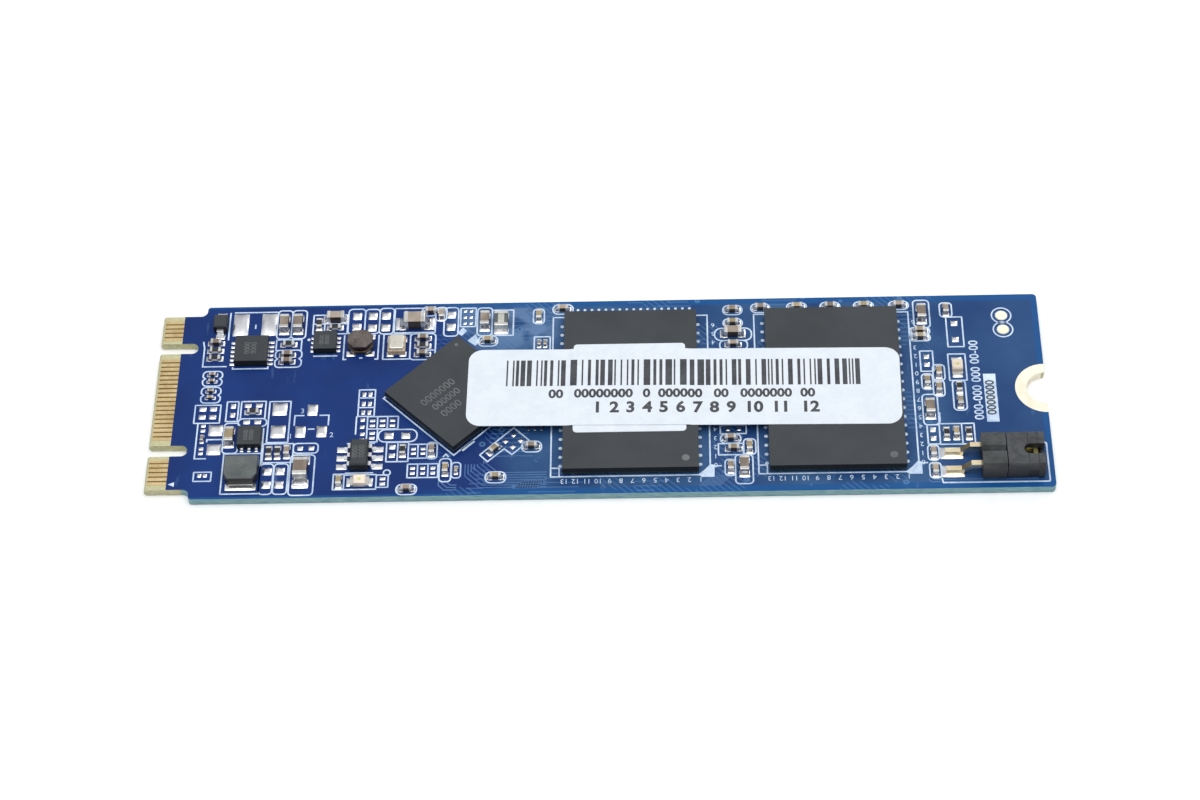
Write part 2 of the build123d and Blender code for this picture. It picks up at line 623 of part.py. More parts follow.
with BuildPart() as load_switch_leads:
    with Locations((*SWITCH_CENTRE, CARD_TOP)):
        add(switch_lead_set)
keep(load_switch_leads, "load_switch_leads")

diode_lead_set = gull_leads(DIODE_SIZE[1] / 2, 1.38, 0.6, 1, 1)
diode_block = moulded_body((DIODE_SIZE[1], DIODE_SIZE[0], DIODE_SIZE[2]), 0.1)
with BuildPart() as diode_body:
    with Locations(Location((*DIODE_CENTRE, CARD_TOP + STAND_OFF), (0, 0, 90))):
        add(diode_block)
keep(diode_body, "diode_body")

with BuildPart() as diode_leads:
    with Locations(Location((*DIODE_CENTRE, CARD_TOP), (0, 0, 90))):
        add(diode_lead_set)
keep(diode_leads, "diode_leads")

# ---------------------------------------------------------------- square power inductor
core_length, core_depth, core_height = POWER_INDUCTOR_SIZE
core_plane = Plane(origin=(*POWER_INDUCTOR_CENTRE, CARD_TOP))
TERMINAL_SHEET = 0.1
CORNER_CUT = (0.38, 0.6)

with BuildPart() as power_inductor_terminals:
    for side in (-1, 1):
        with BuildSketch(core_plane):
            with Locations((0, side * (core_depth / 2 - 0.25))):
                Rectangle(core_length - 2 * CORNER_CUT[0], 0.5)
        extrude(amount=TERMINAL_SHEET)
keep(power_inductor_terminals, "power_inductor_terminals")

with BuildPart() as power_inductor_coil:
    with BuildSketch(core_plane.offset(0.25)):
        Circle(1.0)
        Circle(0.45, mode=Mode.SUBTRACT)
    extrude(amount=0.5)
keep(power_inductor_coil, "power_inductor_coil")

with BuildPart() as power_inductor_core:
    with BuildSketch(core_plane):
        half, deep = core_length / 2, core_depth / 2
        cut_x, cut_y = CORNER_CUT
        with BuildLine():
            Polyline((-half, deep), (-half, -deep + cut_y), (-half + cut_x, -deep),
                     (half - cut_x, -deep), (half, -deep + cut_y), (half, deep), close=True)
        make_face()
    extrude(amount=core_height)
    top_face = power_inductor_core.faces().sort_by(Axis.Z)[-1]
    chamfer(top_face.edges(), 0.05)
    add(power_inductor_terminals.part, mode=Mode.SUBTRACT)
    add(power_inductor_coil.part, mode=Mode.SUBTRACT)
keep(power_inductor_core, "power_inductor_core")

# ---------------------------------------------------------------- octagonal drum inductor
drum_length, drum_depth, drum_height = DRUM_SIZE
drum_plane = Plane(origin=(*DRUM_CENTRE, CARD_TOP))
DRUM_CORNER = 0.6
DRUM_WAIST = 0.62
WINDING_RADIUS = 0.92

with BuildSketch() as drum_flange:
    Rectangle(drum_length, drum_depth)
    chamfer(drum_flange.vertices(), DRUM_CORNER)

with BuildPart() as drum_inductor_terminals:
    for side in (-1, 1):
        with BuildSketch(drum_plane):
            with Locations((side * 0.72, 0)):
                Rectangle(0.55, drum_depth - 0.1)
            add(drum_flange.sketch, mode=Mode.INTERSECT)
        extrude(amount=0.08)
keep(drum_inductor_terminals, "drum_inductor_terminals")

with BuildPart() as drum_inductor_core:
    with BuildSketch(drum_plane):
        add(drum_flange.sketch)
    extrude(amount=DRUM_FLANGE)
    with BuildSketch(drum_plane.offset(DRUM_FLANGE)):
        Circle(DRUM_WAIST)
    extrude(amount=drum_height - 2 * DRUM_FLANGE)
    with BuildSketch(drum_plane.offset(drum_height - DRUM_FLANGE)):
        add(drum_flange.sketch)
    extrude(amount=DRUM_FLANGE)
    chamfer(drum_inductor_core.faces().sort_by(Axis.Z)[-1].edges(), 0.04)
    add(drum_inductor_terminals.part, mode=Mode.SUBTRACT)
keep(drum_inductor_core, "drum_inductor_core")

with BuildPart() as drum_inductor_winding:
    with BuildSketch(drum_plane.offset(DRUM_FLANGE)):
        Circle(WINDING_RADIUS)
        Circle(DRUM_WAIST, mode=Mode.SUBTRACT)
    extrude(amount=drum_height - 2 * DRUM_FLANGE)
keep(drum_inductor_winding, "drum_inductor_winding")

# ---------------------------------------------------------------- ferrite chip inductor
ferrite_place = Location((*FERRITE_CENTRE, CARD_TOP), (0, 0, 90))
ferrite_length, ferrite_width, ferrite_height, ferrite_terminal = FERRITE_SIZE
ferrite_chip = (ferrite_width, ferrite_length, ferrite_height, ferrite_terminal)
ferrite_block = chip_body(ferrite_chip)
ferrite_caps = chip_terminals(ferrite_chip)

with BuildPart() as ferrite_bead_body:
    with Locations(ferrite_place):
        add(ferrite_block)
keep(ferrite_bead_body, "ferrite_bead_body")

with BuildPart() as ferrite_bead_terminals:
    with Locations(ferrite_place):
        add(ferrite_caps)
keep(ferrite_bead_terminals, "ferrite_bead_terminals")

# ---------------------------------------------------------------- crystal
crystal_length, crystal_depth, crystal_height = CRYSTAL_SIZE
crystal_plane = Plane(origin=(*CRYSTAL_CENTRE, CARD_TOP))
CRYSTAL_BASE_HEIGHT = 0.5
CRYSTAL_RIM = 0.12

with BuildPart() as crystal_base:
    with BuildSketch(crystal_plane):
        RectangleRounded(crystal_length, crystal_depth, 0.1)
    extrude(amount=CRYSTAL_BASE_HEIGHT)
keep(crystal_base, "crystal_base")

with BuildPart() as crystal_lid:
    with BuildSketch(crystal_plane.offset(CRYSTAL_BASE_HEIGHT)):
        RectangleRounded(crystal_length - 2 * CRYSTAL_RIM, crystal_depth - 2 * CRYSTAL_RIM, 0.2)
    extrude(amount=crystal_height - CRYSTAL_BASE_HEIGHT)
    fillet(crystal_lid.faces().sort_by(Axis.Z)[-1].edges(), 0.08)
keep(crystal_lid, "crystal_lid")

# ---------------------------------------------------------------- indicator lamps
lamp_length, lamp_width, lamp_height, lamp_terminal = LAMP_SIZE
LAMP_BASE_HEIGHT = 0.22
LENS_LENGTH = lamp_length - 2 * lamp_terminal

with BuildPart() as lamp_bases:
    with Locations(*stood(LAMPS, CARD_TOP + LAMP_BASE_HEIGHT / 2)):
        Box(LENS_LENGTH, lamp_width, LAMP_BASE_HEIGHT)
keep(lamp_bases, "lamp_bases")

lamp_caps = chip_terminals((lamp_length, lamp_width, LAMP_BASE_HEIGHT, lamp_terminal))
with BuildPart() as lamp_terminals:
    with Locations(*stood(LAMPS)):
        add(lamp_caps)
keep(lamp_terminals, "lamp_terminals")

with BuildPart() as lens:
    with Locations((0, 0, LAMP_BASE_HEIGHT + (lamp_height - LAMP_BASE_HEIGHT) / 2)):
        Box(LENS_LENGTH + 0.12, lamp_width, lamp_height - LAMP_BASE_HEIGHT)
    chamfer(lens.faces().sort_by(Axis.Z)[-1].edges().filter_by(Axis.Y), 0.1)
lens_shape = lens.part
with BuildPart() as lamp_lenses:
    with Locations(*stood(LAMPS)):
        add(lens_shape)
keep(lamp_lenses, "lamp_lenses")

# ---------------------------------------------------------------- two-pin header
pin_axis = CARD_TOP + PIN_HEIGHT
half_pin = PIN_SIDE / 2
insulator_middle = sum(INSULATOR_X) / 2
insulator_length = INSULATOR_X[1] - INSULATOR_X[0]

with BuildPart() as header_pins:
    for y in PIN_CENTRES:
        with BuildSketch(Plane.XZ.offset(-y)):
            with BuildLine():
                Polyline((PIN_FOOT[0], CARD_TOP), (PIN_FOOT[1], CARD_TOP),
                         (PIN_RISE_END, pin_axis - half_pin),
                         (PIN_TIP - PIN_TAPER, pin_axis - half_pin),
                         (PIN_TIP, pin_axis - half_pin / 2), (PIN_TIP, pin_axis + half_pin / 2),
                         (PIN_TIP - PIN_TAPER, pin_axis + half_pin),
                         (PIN_RISE_END - 0.1, pin_axis + half_pin),
                         (PIN_FOOT[1] - 0.1, CARD_TOP + PIN_SIDE),
                         (PIN_FOOT[0], CARD_TOP + PIN_SIDE), close=True)
            make_face()
        extrude(amount=half_pin, both=True)
keep(header_pins, "header_pins")

with BuildPart() as header_insulator:
    for y in PIN_CENTRES:
        with BuildSketch(Plane(origin=(INSULATOR_X[0], y, pin_axis), x_dir=(0, 1, 0),
                               z_dir=(1, 0, 0))) as block:
            Rectangle(INSULATOR_SIDE, INSULATOR_SIDE)
            chamfer(block.vertices(), INSULATOR_CORNER)
            Rectangle(PIN_SIDE, PIN_SIDE, mode=Mode.SUBTRACT)
        extrude(amount=insulator_length)
keep(header_insulator, "header_insulator")

# ---------------------------------------------------------------- jumper
jumper_middle = sum(JUMPER_X) / 2
jumper_length = JUMPER_X[1] - JUMPER_X[0]
jumper_bottom = CARD_TOP + JUMPER_GROUND_GAP
jumper_top = CARD_TOP + JUMPER_TOP
jumper_front = JUMPER_CENTRE_Y - JUMPER_WIDTH / 2
clip_low = pin_axis - half_pin - CONTACT_GAP - CONTACT_SHEET
clip_high = pin_axis + half_pin + CONTACT_GAP + CONTACT_SHEET
clip_start = JUMPER_X[0] + 0.35
clip_end = PIN_TIP + 0.32
BRIDGE_X = (38.12, 38.5)
WINDOW_START = 37.25
WINDOW_WIDTH = 1.1
WINDOW_Y = -8.32
GRIP_LINES = (37.6, 38.45)

with BuildPart() as jumper_contact:
    for y in PIN_CENTRES:
        with BuildSketch(Plane.XZ.offset(-y)):
            with BuildLine():
                Polyline((clip_start, clip_low), (clip_end, clip_low), (clip_end, clip_high),
                         (clip_start, clip_high), (clip_start, clip_high - CONTACT_SHEET),
                         (clip_end - CONTACT_SHEET, clip_high - CONTACT_SHEET),
                         (clip_end - CONTACT_SHEET, clip_low + CONTACT_SHEET),
                         (clip_start, clip_low + CONTACT_SHEET), close=True)
            make_face()
        extrude(amount=CONTACT_WIDTH / 2, both=True)
    with Locations((sum(BRIDGE_X) / 2, sum(PIN_CENTRES) / 2, clip_high - CONTACT_SHEET / 2)):
        Box(BRIDGE_X[1] - BRIDGE_X[0], PIN_CENTRES[0] - PIN_CENTRES[1], CONTACT_SHEET)
keep(jumper_contact, "jumper_contact")

with BuildPart() as jumper_housing:
    with Locations((jumper_middle, JUMPER_CENTRE_Y, (jumper_bottom + jumper_top) / 2)):
        Box(jumper_length, JUMPER_WIDTH, jumper_top - jumper_bottom)
    chamfer(jumper_housing.edges().filter_by(Axis.X), 0.14)
    cavity_length = clip_end - JUMPER_X[0]
    cavity_width = PIN_CENTRES[0] - PIN_CENTRES[1] + CONTACT_WIDTH
    with Locations((JUMPER_X[0] + cavity_length / 2, sum(PIN_CENTRES) / 2, pin_axis)):
        Box(cavity_length, cavity_width, clip_high - clip_low, mode=Mode.SUBTRACT)
    with BuildSketch(Plane.XY.offset(jumper_top)):
        with Locations((WINDOW_START + WINDOW_WIDTH / 2, WINDOW_Y)):
            Circle(WINDOW_WIDTH / 2)
        with Locations(((WINDOW_START + WINDOW_WIDTH / 2 + JUMPER_X[1]) / 2, WINDOW_Y)):
            Rectangle(JUMPER_X[1] - WINDOW_START - WINDOW_WIDTH / 2, WINDOW_WIDTH)
    extrude(amount=-(jumper_top - pin_axis), mode=Mode.SUBTRACT)
    with Locations((GRIP_LINES[0], JUMPER_CENTRE_Y, jumper_top),
                   (GRIP_LINES[1], JUMPER_CENTRE_Y, jumper_top)):
        Box(0.09, JUMPER_WIDTH, 0.12, mode=Mode.SUBTRACT)
    with Locations((sum(GRIP_LINES) / 2, jumper_front, (jumper_bottom + pin_axis) / 2 + 0.1)):
        Box(GRIP_LINES[1] - GRIP_LINES[0], 0.24, pin_axis - jumper_bottom + 0.2,
            mode=Mode.SUBTRACT)
keep(jumper_housing, "jumper_housing")

# ---------------------------------------------------------------- labels
label_bottom = CARD_TOP + PACKAGE_TOP

with BuildPart() as label_square:
    with BuildSketch(Plane.XY.offset(label_bottom)):
        with Locations(SQUARE_LABEL_CENTRE):
            RectangleRounded(SQUARE_LABEL, SQUARE_LABEL, SQUARE_LABEL_RADIUS)
    extrude(amount=LABEL_THICKNESS)
keep(label_square, "label_square")

# Side view of the long label: flat on the packages, one step up where it crosses the
# square label. The outline is then cut from that folded sheet.
step_start = SQUARE_LABEL_CENTRE[0] - SQUARE_LABEL / 2 - 0.02
step_end = SQUARE_LABEL_CENTRE[0] + SQUARE_LABEL / 2 + 0.02
sheet_start = LONG_LABEL_CENTRE[0] - LONG_LABEL[0]
sheet_end = LONG_LABEL_CENTRE[0] + LONG_LABEL[0]
level = [label_bottom + n * LABEL_THICKNESS for n in range(3)]

with BuildPart() as label_long:
    with BuildSketch(Plane.XZ):
        with BuildLine():
            Polyline((sheet_start, level[0]), (step_start, level[0]), (step_start, level[1]),
                     (step_end, level[1]), (step_end, level[0]), (sheet_end, level[0]),
                     (sheet_end, level[1]), (step_end + LABEL_RAMP, level[1]),
                     (step_end, level[2]), (step_start, level[2]),
                     (step_start - LABEL_RAMP, level[1]), (sheet_start, level[1]), close=True)
        make_face()
    extrude(amount=CARD_WIDTH / 2, both=True)
    with BuildSketch(Plane.XY.offset(level[0])):
        with Locations(LONG_LABEL_CENTRE):
            RectangleRounded(*LONG_LABEL, LONG_LABEL_RADIUS, rotation=LONG_LABEL_TURN)
    extrude(amount=3 * LABEL_THICKNESS, mode=Mode.INTERSECT)
keep(label_long, "label_long")
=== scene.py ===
# %% [markdown]
# # A bare solid state drive
# The drive is one thin blue card, 22 by 80 mm, with chips, a paper label and a small
# jumper. The card, the packages and everything with a real size come from the CAD frame.
# This file gives them their finishes and adds what is too thin or too soft for CAD:
# printed lines, solder, paper and ink.

# %% Load the frame
import json
import math
import bpy
import numpy as np
from mathutils import Matrix, Vector


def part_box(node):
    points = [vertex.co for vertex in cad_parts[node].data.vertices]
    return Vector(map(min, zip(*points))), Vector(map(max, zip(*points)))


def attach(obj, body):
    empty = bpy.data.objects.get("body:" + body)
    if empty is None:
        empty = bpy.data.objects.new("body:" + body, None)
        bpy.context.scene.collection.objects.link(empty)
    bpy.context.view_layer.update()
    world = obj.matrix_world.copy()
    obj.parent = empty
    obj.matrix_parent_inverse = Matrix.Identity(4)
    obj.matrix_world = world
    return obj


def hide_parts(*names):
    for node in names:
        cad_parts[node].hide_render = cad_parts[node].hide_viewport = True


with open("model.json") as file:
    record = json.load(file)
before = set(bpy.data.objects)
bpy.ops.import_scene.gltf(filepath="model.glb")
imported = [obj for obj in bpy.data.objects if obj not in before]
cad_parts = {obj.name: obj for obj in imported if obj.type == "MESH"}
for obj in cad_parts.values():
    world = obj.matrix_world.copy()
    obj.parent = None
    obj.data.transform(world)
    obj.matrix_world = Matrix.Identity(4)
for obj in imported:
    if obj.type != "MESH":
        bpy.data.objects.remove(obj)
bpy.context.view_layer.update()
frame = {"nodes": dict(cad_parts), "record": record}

NODES = frame["nodes"]
MM = 0.001

# %% [markdown]
# ## Camera
# The card is seen from in front and above, through a long lens, so that its edges stay
# nearly parallel. A camera is a matrix: its columns are the way to the right, the way
# up, the way back and the place. Writing them down gives the same view on every run.

# %% Camera
camera_data = bpy.data.cameras.new("studio_camera")
camera_data.lens = 91.97
camera_data.sensor_width = 36.0
camera_data.clip_start = 0.01
camera_data.clip_end = 10.0
camera = bpy.data.objects.new("studio_camera", camera_data)
bpy.context.scene.collection.objects.link(camera)
right, up, back = (0.9995, 0.0047, -0.0313), (0.0158, 0.7832, 0.6216), (0.0274, -0.6218, 0.7827)
place = (0.007685, -0.171246, 0.215614)
camera.matrix_world = Matrix([(*row, place[i]) for i, row in enumerate(zip(right, up, back))]
                             + [(0, 0, 0, 1)])
bpy.context.scene.camera = camera
bpy.context.scene.view_settings.view_transform = "Standard"
print("camera at", place)

# %% [markdown]
# ## Floor and light
# The drive lies on a plain white sweep under one large soft panel, with a small one behind
# it, so the shadow nearly vanishes. The sky round it is bright overhead and dim at the
# horizon: flat tops stay clear while domed solder picks up both a highlight and a dark side.

# %% Floor and lights
def plain_floor(size=4.0):
    """A flat square a hundredth of a millimetre below Z = 0, so just under the card."""
    corners = np.array([(-1, -1), (1, -1), (1, 1), (-1, 1)]) * size / 2
    mesh = bpy.data.meshes.new("floor")
    mesh.from_pydata(np.column_stack([corners, np.full(4, -0.00001)]).tolist(), [], [(0, 1, 2, 3)])
    floor = bpy.data.objects.new("floor", mesh)
    bpy.context.scene.collection.objects.link(floor)
    return floor


def panel(name, place, target, size, power):
    """A square soft light that faces its target."""
    data = bpy.data.lights.new(name, "AREA")
    data.size, data.energy = size, power
    light = bpy.data.objects.new(name, data)
    turn = (Vector(place) - Vector(target)).to_track_quat("Z", "Y")
    light.matrix_world = Matrix.Translation(place) @ turn.to_matrix().to_4x4()
    bpy.context.scene.collection.objects.link(light)


floor = plain_floor()
panel("overhead_panel", (0.0, -0.1, 0.8), (0, 0, 0), 0.8, 3.9)
panel("back_panel", (0.3, 0.5, 0.3), (0, 0, 0), 0.3, 0.8)
world = bpy.data.worlds.new("studio_sky")
world.use_nodes = True
sky, link = world.node_tree.nodes, world.node_tree.links.new
sky["Background"].inputs["Color"].default_value = (0.96, 0.98, 1.0, 1)
way = sky.new("ShaderNodeTexCoord")
axes = sky.new("ShaderNodeSeparateXYZ")
rise = sky.new("ShaderNodeMapRange")
for key, value in (("From Min", 0.2), ("From Max", 0.7), ("To Min", 0.12), ("To Max", 0.85)):
    rise.inputs[key].default_value = value
link(way.outputs["Generated"], axes.inputs[0])
link(axes.outputs[2], rise.inputs["Value"])
link(rise.outputs[0], sky["Background"].inputs["Strength"])
bpy.context.scene.world = world
print("floor and", len(bpy.data.lights), "lights")

# %% [markdown]
# ## Writing a finish as arithmetic
# A material is a graph of nodes. Drawing it in code is easier to read when a socket can
# be added and multiplied like a number, so one small class wraps a socket, and another
# makes any node from its type, its settings and its inputs.

# %% Sockets as numbers, and a finish as a graph
class Wire:
    """A node's output that takes part in Python arithmetic."""

    def __init__(self, finish, socket):
        self.finish, self.socket = finish, socket

    def maths(self, operation, first, second):
        made = self.finish.node("ShaderNodeMath", {"operation": operation}, {0: first, 1: second})
        return Wire(self.finish, made.outputs[0])

    def __add__(self, other):
        return self.maths("ADD", self, other)

    def __radd__(self, other):
        return self.maths("ADD", other, self)

    def __sub__(self, other):
        return self.maths("SUBTRACT", self, other)

    def __rsub__(self, other):
        return self.maths("SUBTRACT", other, self)

    def __mul__(self, other):
        return self.maths("MULTIPLY", self, other)

    def __rmul__(self, other):
        return self.maths("MULTIPLY", other, self)

    def __gt__(self, other):
        return self.maths("GREATER_THAN", self, other)

    def __lt__(self, other):
        return self.maths("LESS_THAN", self, other)

    def __abs__(self):
        return self.maths("ABSOLUTE", self, 0)

    def zigzag(self, reach=0.5):
        """Run up to reach and back down, over and over."""
        return self.maths("PINGPONG", self, reach)


class Finish:
    """A material being written: its graph, its shader, and patterns in card millimetres."""

    def __init__(self, name, colour, roughness, metallic=0.0, **constants):
        self.material = bpy.data.materials.new(name)
        self.material.use_nodes = True
        self.tree = self.material.node_tree
        self.shader = self.tree.nodes["Principled BSDF"]
        self.put("Base Color", (*colour, 1))
        self.put("Roughness", roughness)
        self.put("Metallic", metallic)
        for key, value in constants.items():
            self.put(key.replace("_", " "), value)
        coords = self.node("ShaderNodeTexCoord")
        self.mm = Wire(self, self.node("ShaderNodeVectorMath", {"operation": "SCALE"},
                                       {0: Wire(self, coords.outputs["Object"]),
                                        "Scale": 1 / MM}).outputs[0])
        axes = self.node("ShaderNodeSeparateXYZ", {}, {0: self.mm})
        self.x, self.y, self.z = (Wire(self, socket) for socket in axes.outputs)

    def node(self, kind, settings=None, inputs=None):
        """Make any node: settings first, then values or links for its sockets."""
        made = self.tree.nodes.new(kind)
        for key, value in (settings or {}).items():
            setattr(made, key, value)
        for key, value in (inputs or {}).items():
            if isinstance(value, Wire):
                self.tree.links.new(value.socket, made.inputs[key])
            else:
                made.inputs[key].default_value = value
        return made

    def put(self, socket, value):
        if isinstance(value, Wire):
            self.tree.links.new(value.socket, self.shader.inputs[socket])
        else:
            self.shader.inputs[socket].default_value = value

    def noise(self, scale, detail=3.0, stretch=(1, 1, 1)):
        """Soft noise, scale in features per millimetre."""
        vector = Wire(self, self.node("ShaderNodeVectorMath", {"operation": "MULTIPLY"},
                                      {0: self.mm, 1: stretch}).outputs[0])
        return Wire(self, self.node("ShaderNodeTexNoise", {}, {"Vector": vector, "Scale": scale,
                                                               "Detail": detail}).outputs[0])

    def cells(self, scale, out="Distance"):
        """Voronoi cells, scale in cells per millimetre."""
        made = self.node("ShaderNodeTexVoronoi", {"feature": "F1"},
                         {"Vector": self.mm, "Scale": scale})
        return Wire(self, made.outputs[out])

    def ramp(self, value, low, high):
        """Zero below low, one above high, straight between."""
        made = self.node("ShaderNodeMapRange", {"clamp": True},
                         {"Value": value, "From Min": low, "From Max": high})
        return Wire(self, made.outputs[0])

    def blend(self, factor, first, second):
        """A colour between two colours."""
        made = self.node("ShaderNodeMix", {"data_type": "RGBA"},
                         {0: factor, 6: first if isinstance(first, Wire) else (*first, 1),
                          7: second if isinstance(second, Wire) else (*second, 1)})
        return Wire(self, made.outputs[2])

    def facing_up(self):
        """One on faces that look up from the card, zero on side faces."""
        normal = Wire(self, self.node("ShaderNodeNewGeometry").outputs["True Normal"])
        return self.ramp(Wire(self, self.node("ShaderNodeSeparateXYZ", {}, {0: normal}).outputs[2]),
                         0.4, 0.85)

    def bump(self, height, strength, distance=0.00002):
        made = self.node("ShaderNodeBump", {}, {"Height": height, "Strength": strength,
                                                "Distance": distance})
        self.put("Normal", Wire(self, made.outputs[0]))


print("finish helpers ready")

# %% [markdown]
# ## The blue solder mask
# Solder mask is a glossy lacquer over copper. Where a sheet of copper lies under it the
# blue is paler and greyer; over bare glass it is deep. Tracks show as thin paler lines
# that run straight or at 45 degrees, and plated holes show as small rings. All of it is
# worked out from the place on the card, so it stays put when the drive moves.

# %% Solder mask finish
def solder_mask():
    f = Finish("blue_solder_mask", (0.005, 0.028, 0.17), 0.35, Specular_IOR_Level=0.2)
    wander = (f.noise(0.35, 2) - 0.5) * 6
    pour = f.ramp(f.x + wander + f.y * 0.25, -12.0, -8.5)
    border = f.ramp(abs(f.y), 10.25, 10.45)
    cloud = f.noise(0.14, 3)
    base = f.blend(f.ramp(cloud, 0.35, 0.7), (0.0025, 0.022, 0.13), (0.004, 0.034, 0.18))
    copper = f.blend(f.ramp(cloud, 0.35, 0.65), (0.009, 0.045, 0.15), (0.038, 0.105, 0.235))
    colour = f.blend(pour, base, copper)
    plane = f.ramp(f.y, 4.5, 7.0) * f.ramp(f.x, -13.5, -11) * f.ramp(-3 - f.x, 0, 2)
    pale = plane * f.ramp(f.noise(0.5, 2), 0.42, 0.56)
    colour = f.blend(pale * 0.6, colour, (0.15, 0.25, 0.42))
    between = f.ramp(3 - abs(f.x - 12), 0, 1.5) * f.ramp(-1 - f.y, 0, 2)
    colour = f.blend(between * 0.6, colour, (0.006, 0.03, 0.14))
    colour = f.blend(f.ramp(f.x, 28, 33) * 0.55, colour, (0.007, 0.045, 0.165))
    rim = f.ramp(border + f.ramp(f.x, 39.4, 39.55), 0, 1) * f.ramp(f.x, -16, -8)
    colour = f.blend(rim * 0.8, colour, (0.003, 0.076, 0.255))
    colour = f.blend(f.ramp(abs(f.y), 10.75, 10.85) * 0.8, colour, (0.003, 0.076, 0.255))
    lanes = ((f.x + f.y) * 1.6).zigzag()
    rows = (f.y * 2.0).zigzag()
    tracks = f.ramp(lanes, 0.33, 0.4) * (f.noise(0.22, 1) > 0.55)
    tracks = tracks + f.ramp(rows, 0.33, 0.4) * (f.noise(0.17, 1) < 0.42)
    busy = f.ramp(f.x, -16, -12) * f.ramp(31 - f.x, 0, 3)
    colour = f.blend(tracks * busy * 0.4, colour, (0.085, 0.20, 0.42))
    spot = f.cells(0.62)
    chosen = f.cells(0.62, out="Color") > 0.5
    via = f.ramp(0.2 - spot, 0.0, 0.04) * chosen * busy
    hole = f.ramp(0.09 - spot, 0.0, 0.04) * chosen * busy
    colour = f.blend(via * 0.5, colour, (0.10, 0.24, 0.46))
    colour = f.blend(hole * 0.9, colour, (0.004, 0.016, 0.08))
    scuff = f.ramp(f.noise(1.1, 5, (1, 0.25, 1)), 0.66, 0.72)
    colour = f.blend(scuff * 0.35, colour, (0.08, 0.16, 0.34))
    f.put("Base Color", colour)
    f.put("Roughness", 0.28 + f.noise(1.5) * 0.16)
    f.bump(f.noise(1.2, 4) * 0.4 + tracks * busy * 0.5 + via * 0.5 + pour * 0.4, 0.35)
    return f.material


# %% [markdown]
# ## Card edge, gold and tin
# The cut edge of the card is woven glass in resin, pale and slightly green, with the
# layers showing as fine lines. The contact fingers are thin gold over nickel, and bare
# pads carry a skin of bright tin, slightly lumpy where it froze.

# %% Laminate and metal finishes
def laminate():
    f = Finish("woven_laminate", (0.5, 0.55, 0.42), 0.55)
    weave = f.noise(0.9, 2, (1, 1, 9))
    threads = f.noise(3.0, 1, (1, 6, 1)) * 0.5 + f.noise(3.0, 1, (6, 1, 1)) * 0.5
    tongue = f.ramp(f.x, -36.6, -36.8) + f.ramp(f.x, 36, 36.1) * f.ramp(3 - abs(f.y), 0, 0.1)
    side = f.blend(f.ramp(weave, 0.35, 0.65), (0.12, 0.27, 0.31), (0.25, 0.42, 0.43))
    face = f.blend(f.ramp(threads, 0.42, 0.58), (0.44, 0.42, 0.24), (0.56, 0.54, 0.33))
    f.put("Base Color", f.blend(tongue, side, face))
    f.put("Roughness", 0.45 + weave * 0.25)
    f.bump(threads + weave, 0.25)
    return f.material


def metal(name, dark, light, rough, grain=6.0, strength=0.2, metallic=1.0, stretch=(1, 1, 1)):
    """Plated metal: two close tones, cloudy polish and a fine grain."""
    f = Finish(name, light, rough, metallic)
    cloud = f.noise(0.8, 3)
    fine = f.noise(grain, 3, stretch)
    f.put("Base Color", f.blend(f.ramp(cloud * 0.6 + fine * 0.4, 0.35, 0.65), dark, light))
    f.put("Roughness", rough + (fine - 0.5) * 0.2)
    f.bump(fine, strength)
    return f.material


# %% [markdown]
# ## Moulded packages
# Chip packages are moulded from epoxy full of silica, so the top is an even dark grey
# with a fine sandy bump. The side faces are painted much darker, as shade.

# %% Plastic and ceramic finishes
def mould_compound():
    f = Finish("mould_compound", (0.05, 0.054, 0.06), 0.5, Specular_IOR_Level=0.3)
    sand = f.noise(9.0, 4)
    cloud = f.noise(0.25, 2)
    tone = f.blend(f.ramp(cloud, 0.3, 0.7), (0.034, 0.039, 0.044), (0.045, 0.050, 0.056))
    # Side faces are painted near black: painted shade, darker than the lit top.
    f.put("Base Color", f.blend(f.facing_up(), (0.006, 0.007, 0.009), tone))
    f.put("Roughness", 0.42 + sand * 0.2)
    f.bump(sand, 0.3)
    return f.material


def plastic(name, dark, light, rough, grain=5.0, strength=0.25, side=None):
    """Moulded plastic or fired ceramic: two close tones, a fine skin, and side faces painted darker as
    shade when a side colour is given.
    """
    f = Finish(name, light, rough, Specular_IOR_Level=0.35)
    fine = f.noise(grain, 4)
    cloud = f.noise(0.6, 2)
    tone = f.blend(f.ramp(cloud * 0.6 + fine * 0.4, 0.38, 0.62), dark, light)
    # A side colour paints shade onto the side faces, darker than the lit top.
    f.put("Base Color", f.blend(f.facing_up(), side, tone) if side else tone)
    f.put("Roughness", rough + (fine - 0.5) * 0.25)
    f.bump(fine, strength)
    return f.material


def capacitor_ceramic():
    f = Finish("capacitor_ceramic", (0.45, 0.33, 0.23), 0.4)
    grains = f.noise(7.0, 3)
    batch = f.noise(0.33, 1)
    tone = f.blend(f.ramp(batch, 0.38, 0.6), (0.185, 0.145, 0.115), (0.42, 0.345, 0.285))
    yellow = f.ramp(f.noise(0.27, 1, (1, 1, 0)), 0.52, 0.6)
    tone = f.blend(yellow * 0.6, tone, (0.44, 0.35, 0.17))
    layers = f.noise(2.0, 1, (0.2, 0.2, 12))
    # Side faces are painted near black: painted shade, darker than the lit top.
    tone = f.blend(f.facing_up(), (0.028, 0.019, 0.016), tone)
    f.put("Base Color", f.blend(f.ramp(grains * 0.7 + layers * 0.3, 0.3, 0.7) * 0.3, tone,
                                (0.10, 0.065, 0.045)))
    f.put("Roughness", 0.3 + grains * 0.2)
    f.bump(grains, 0.2)
    return f.material


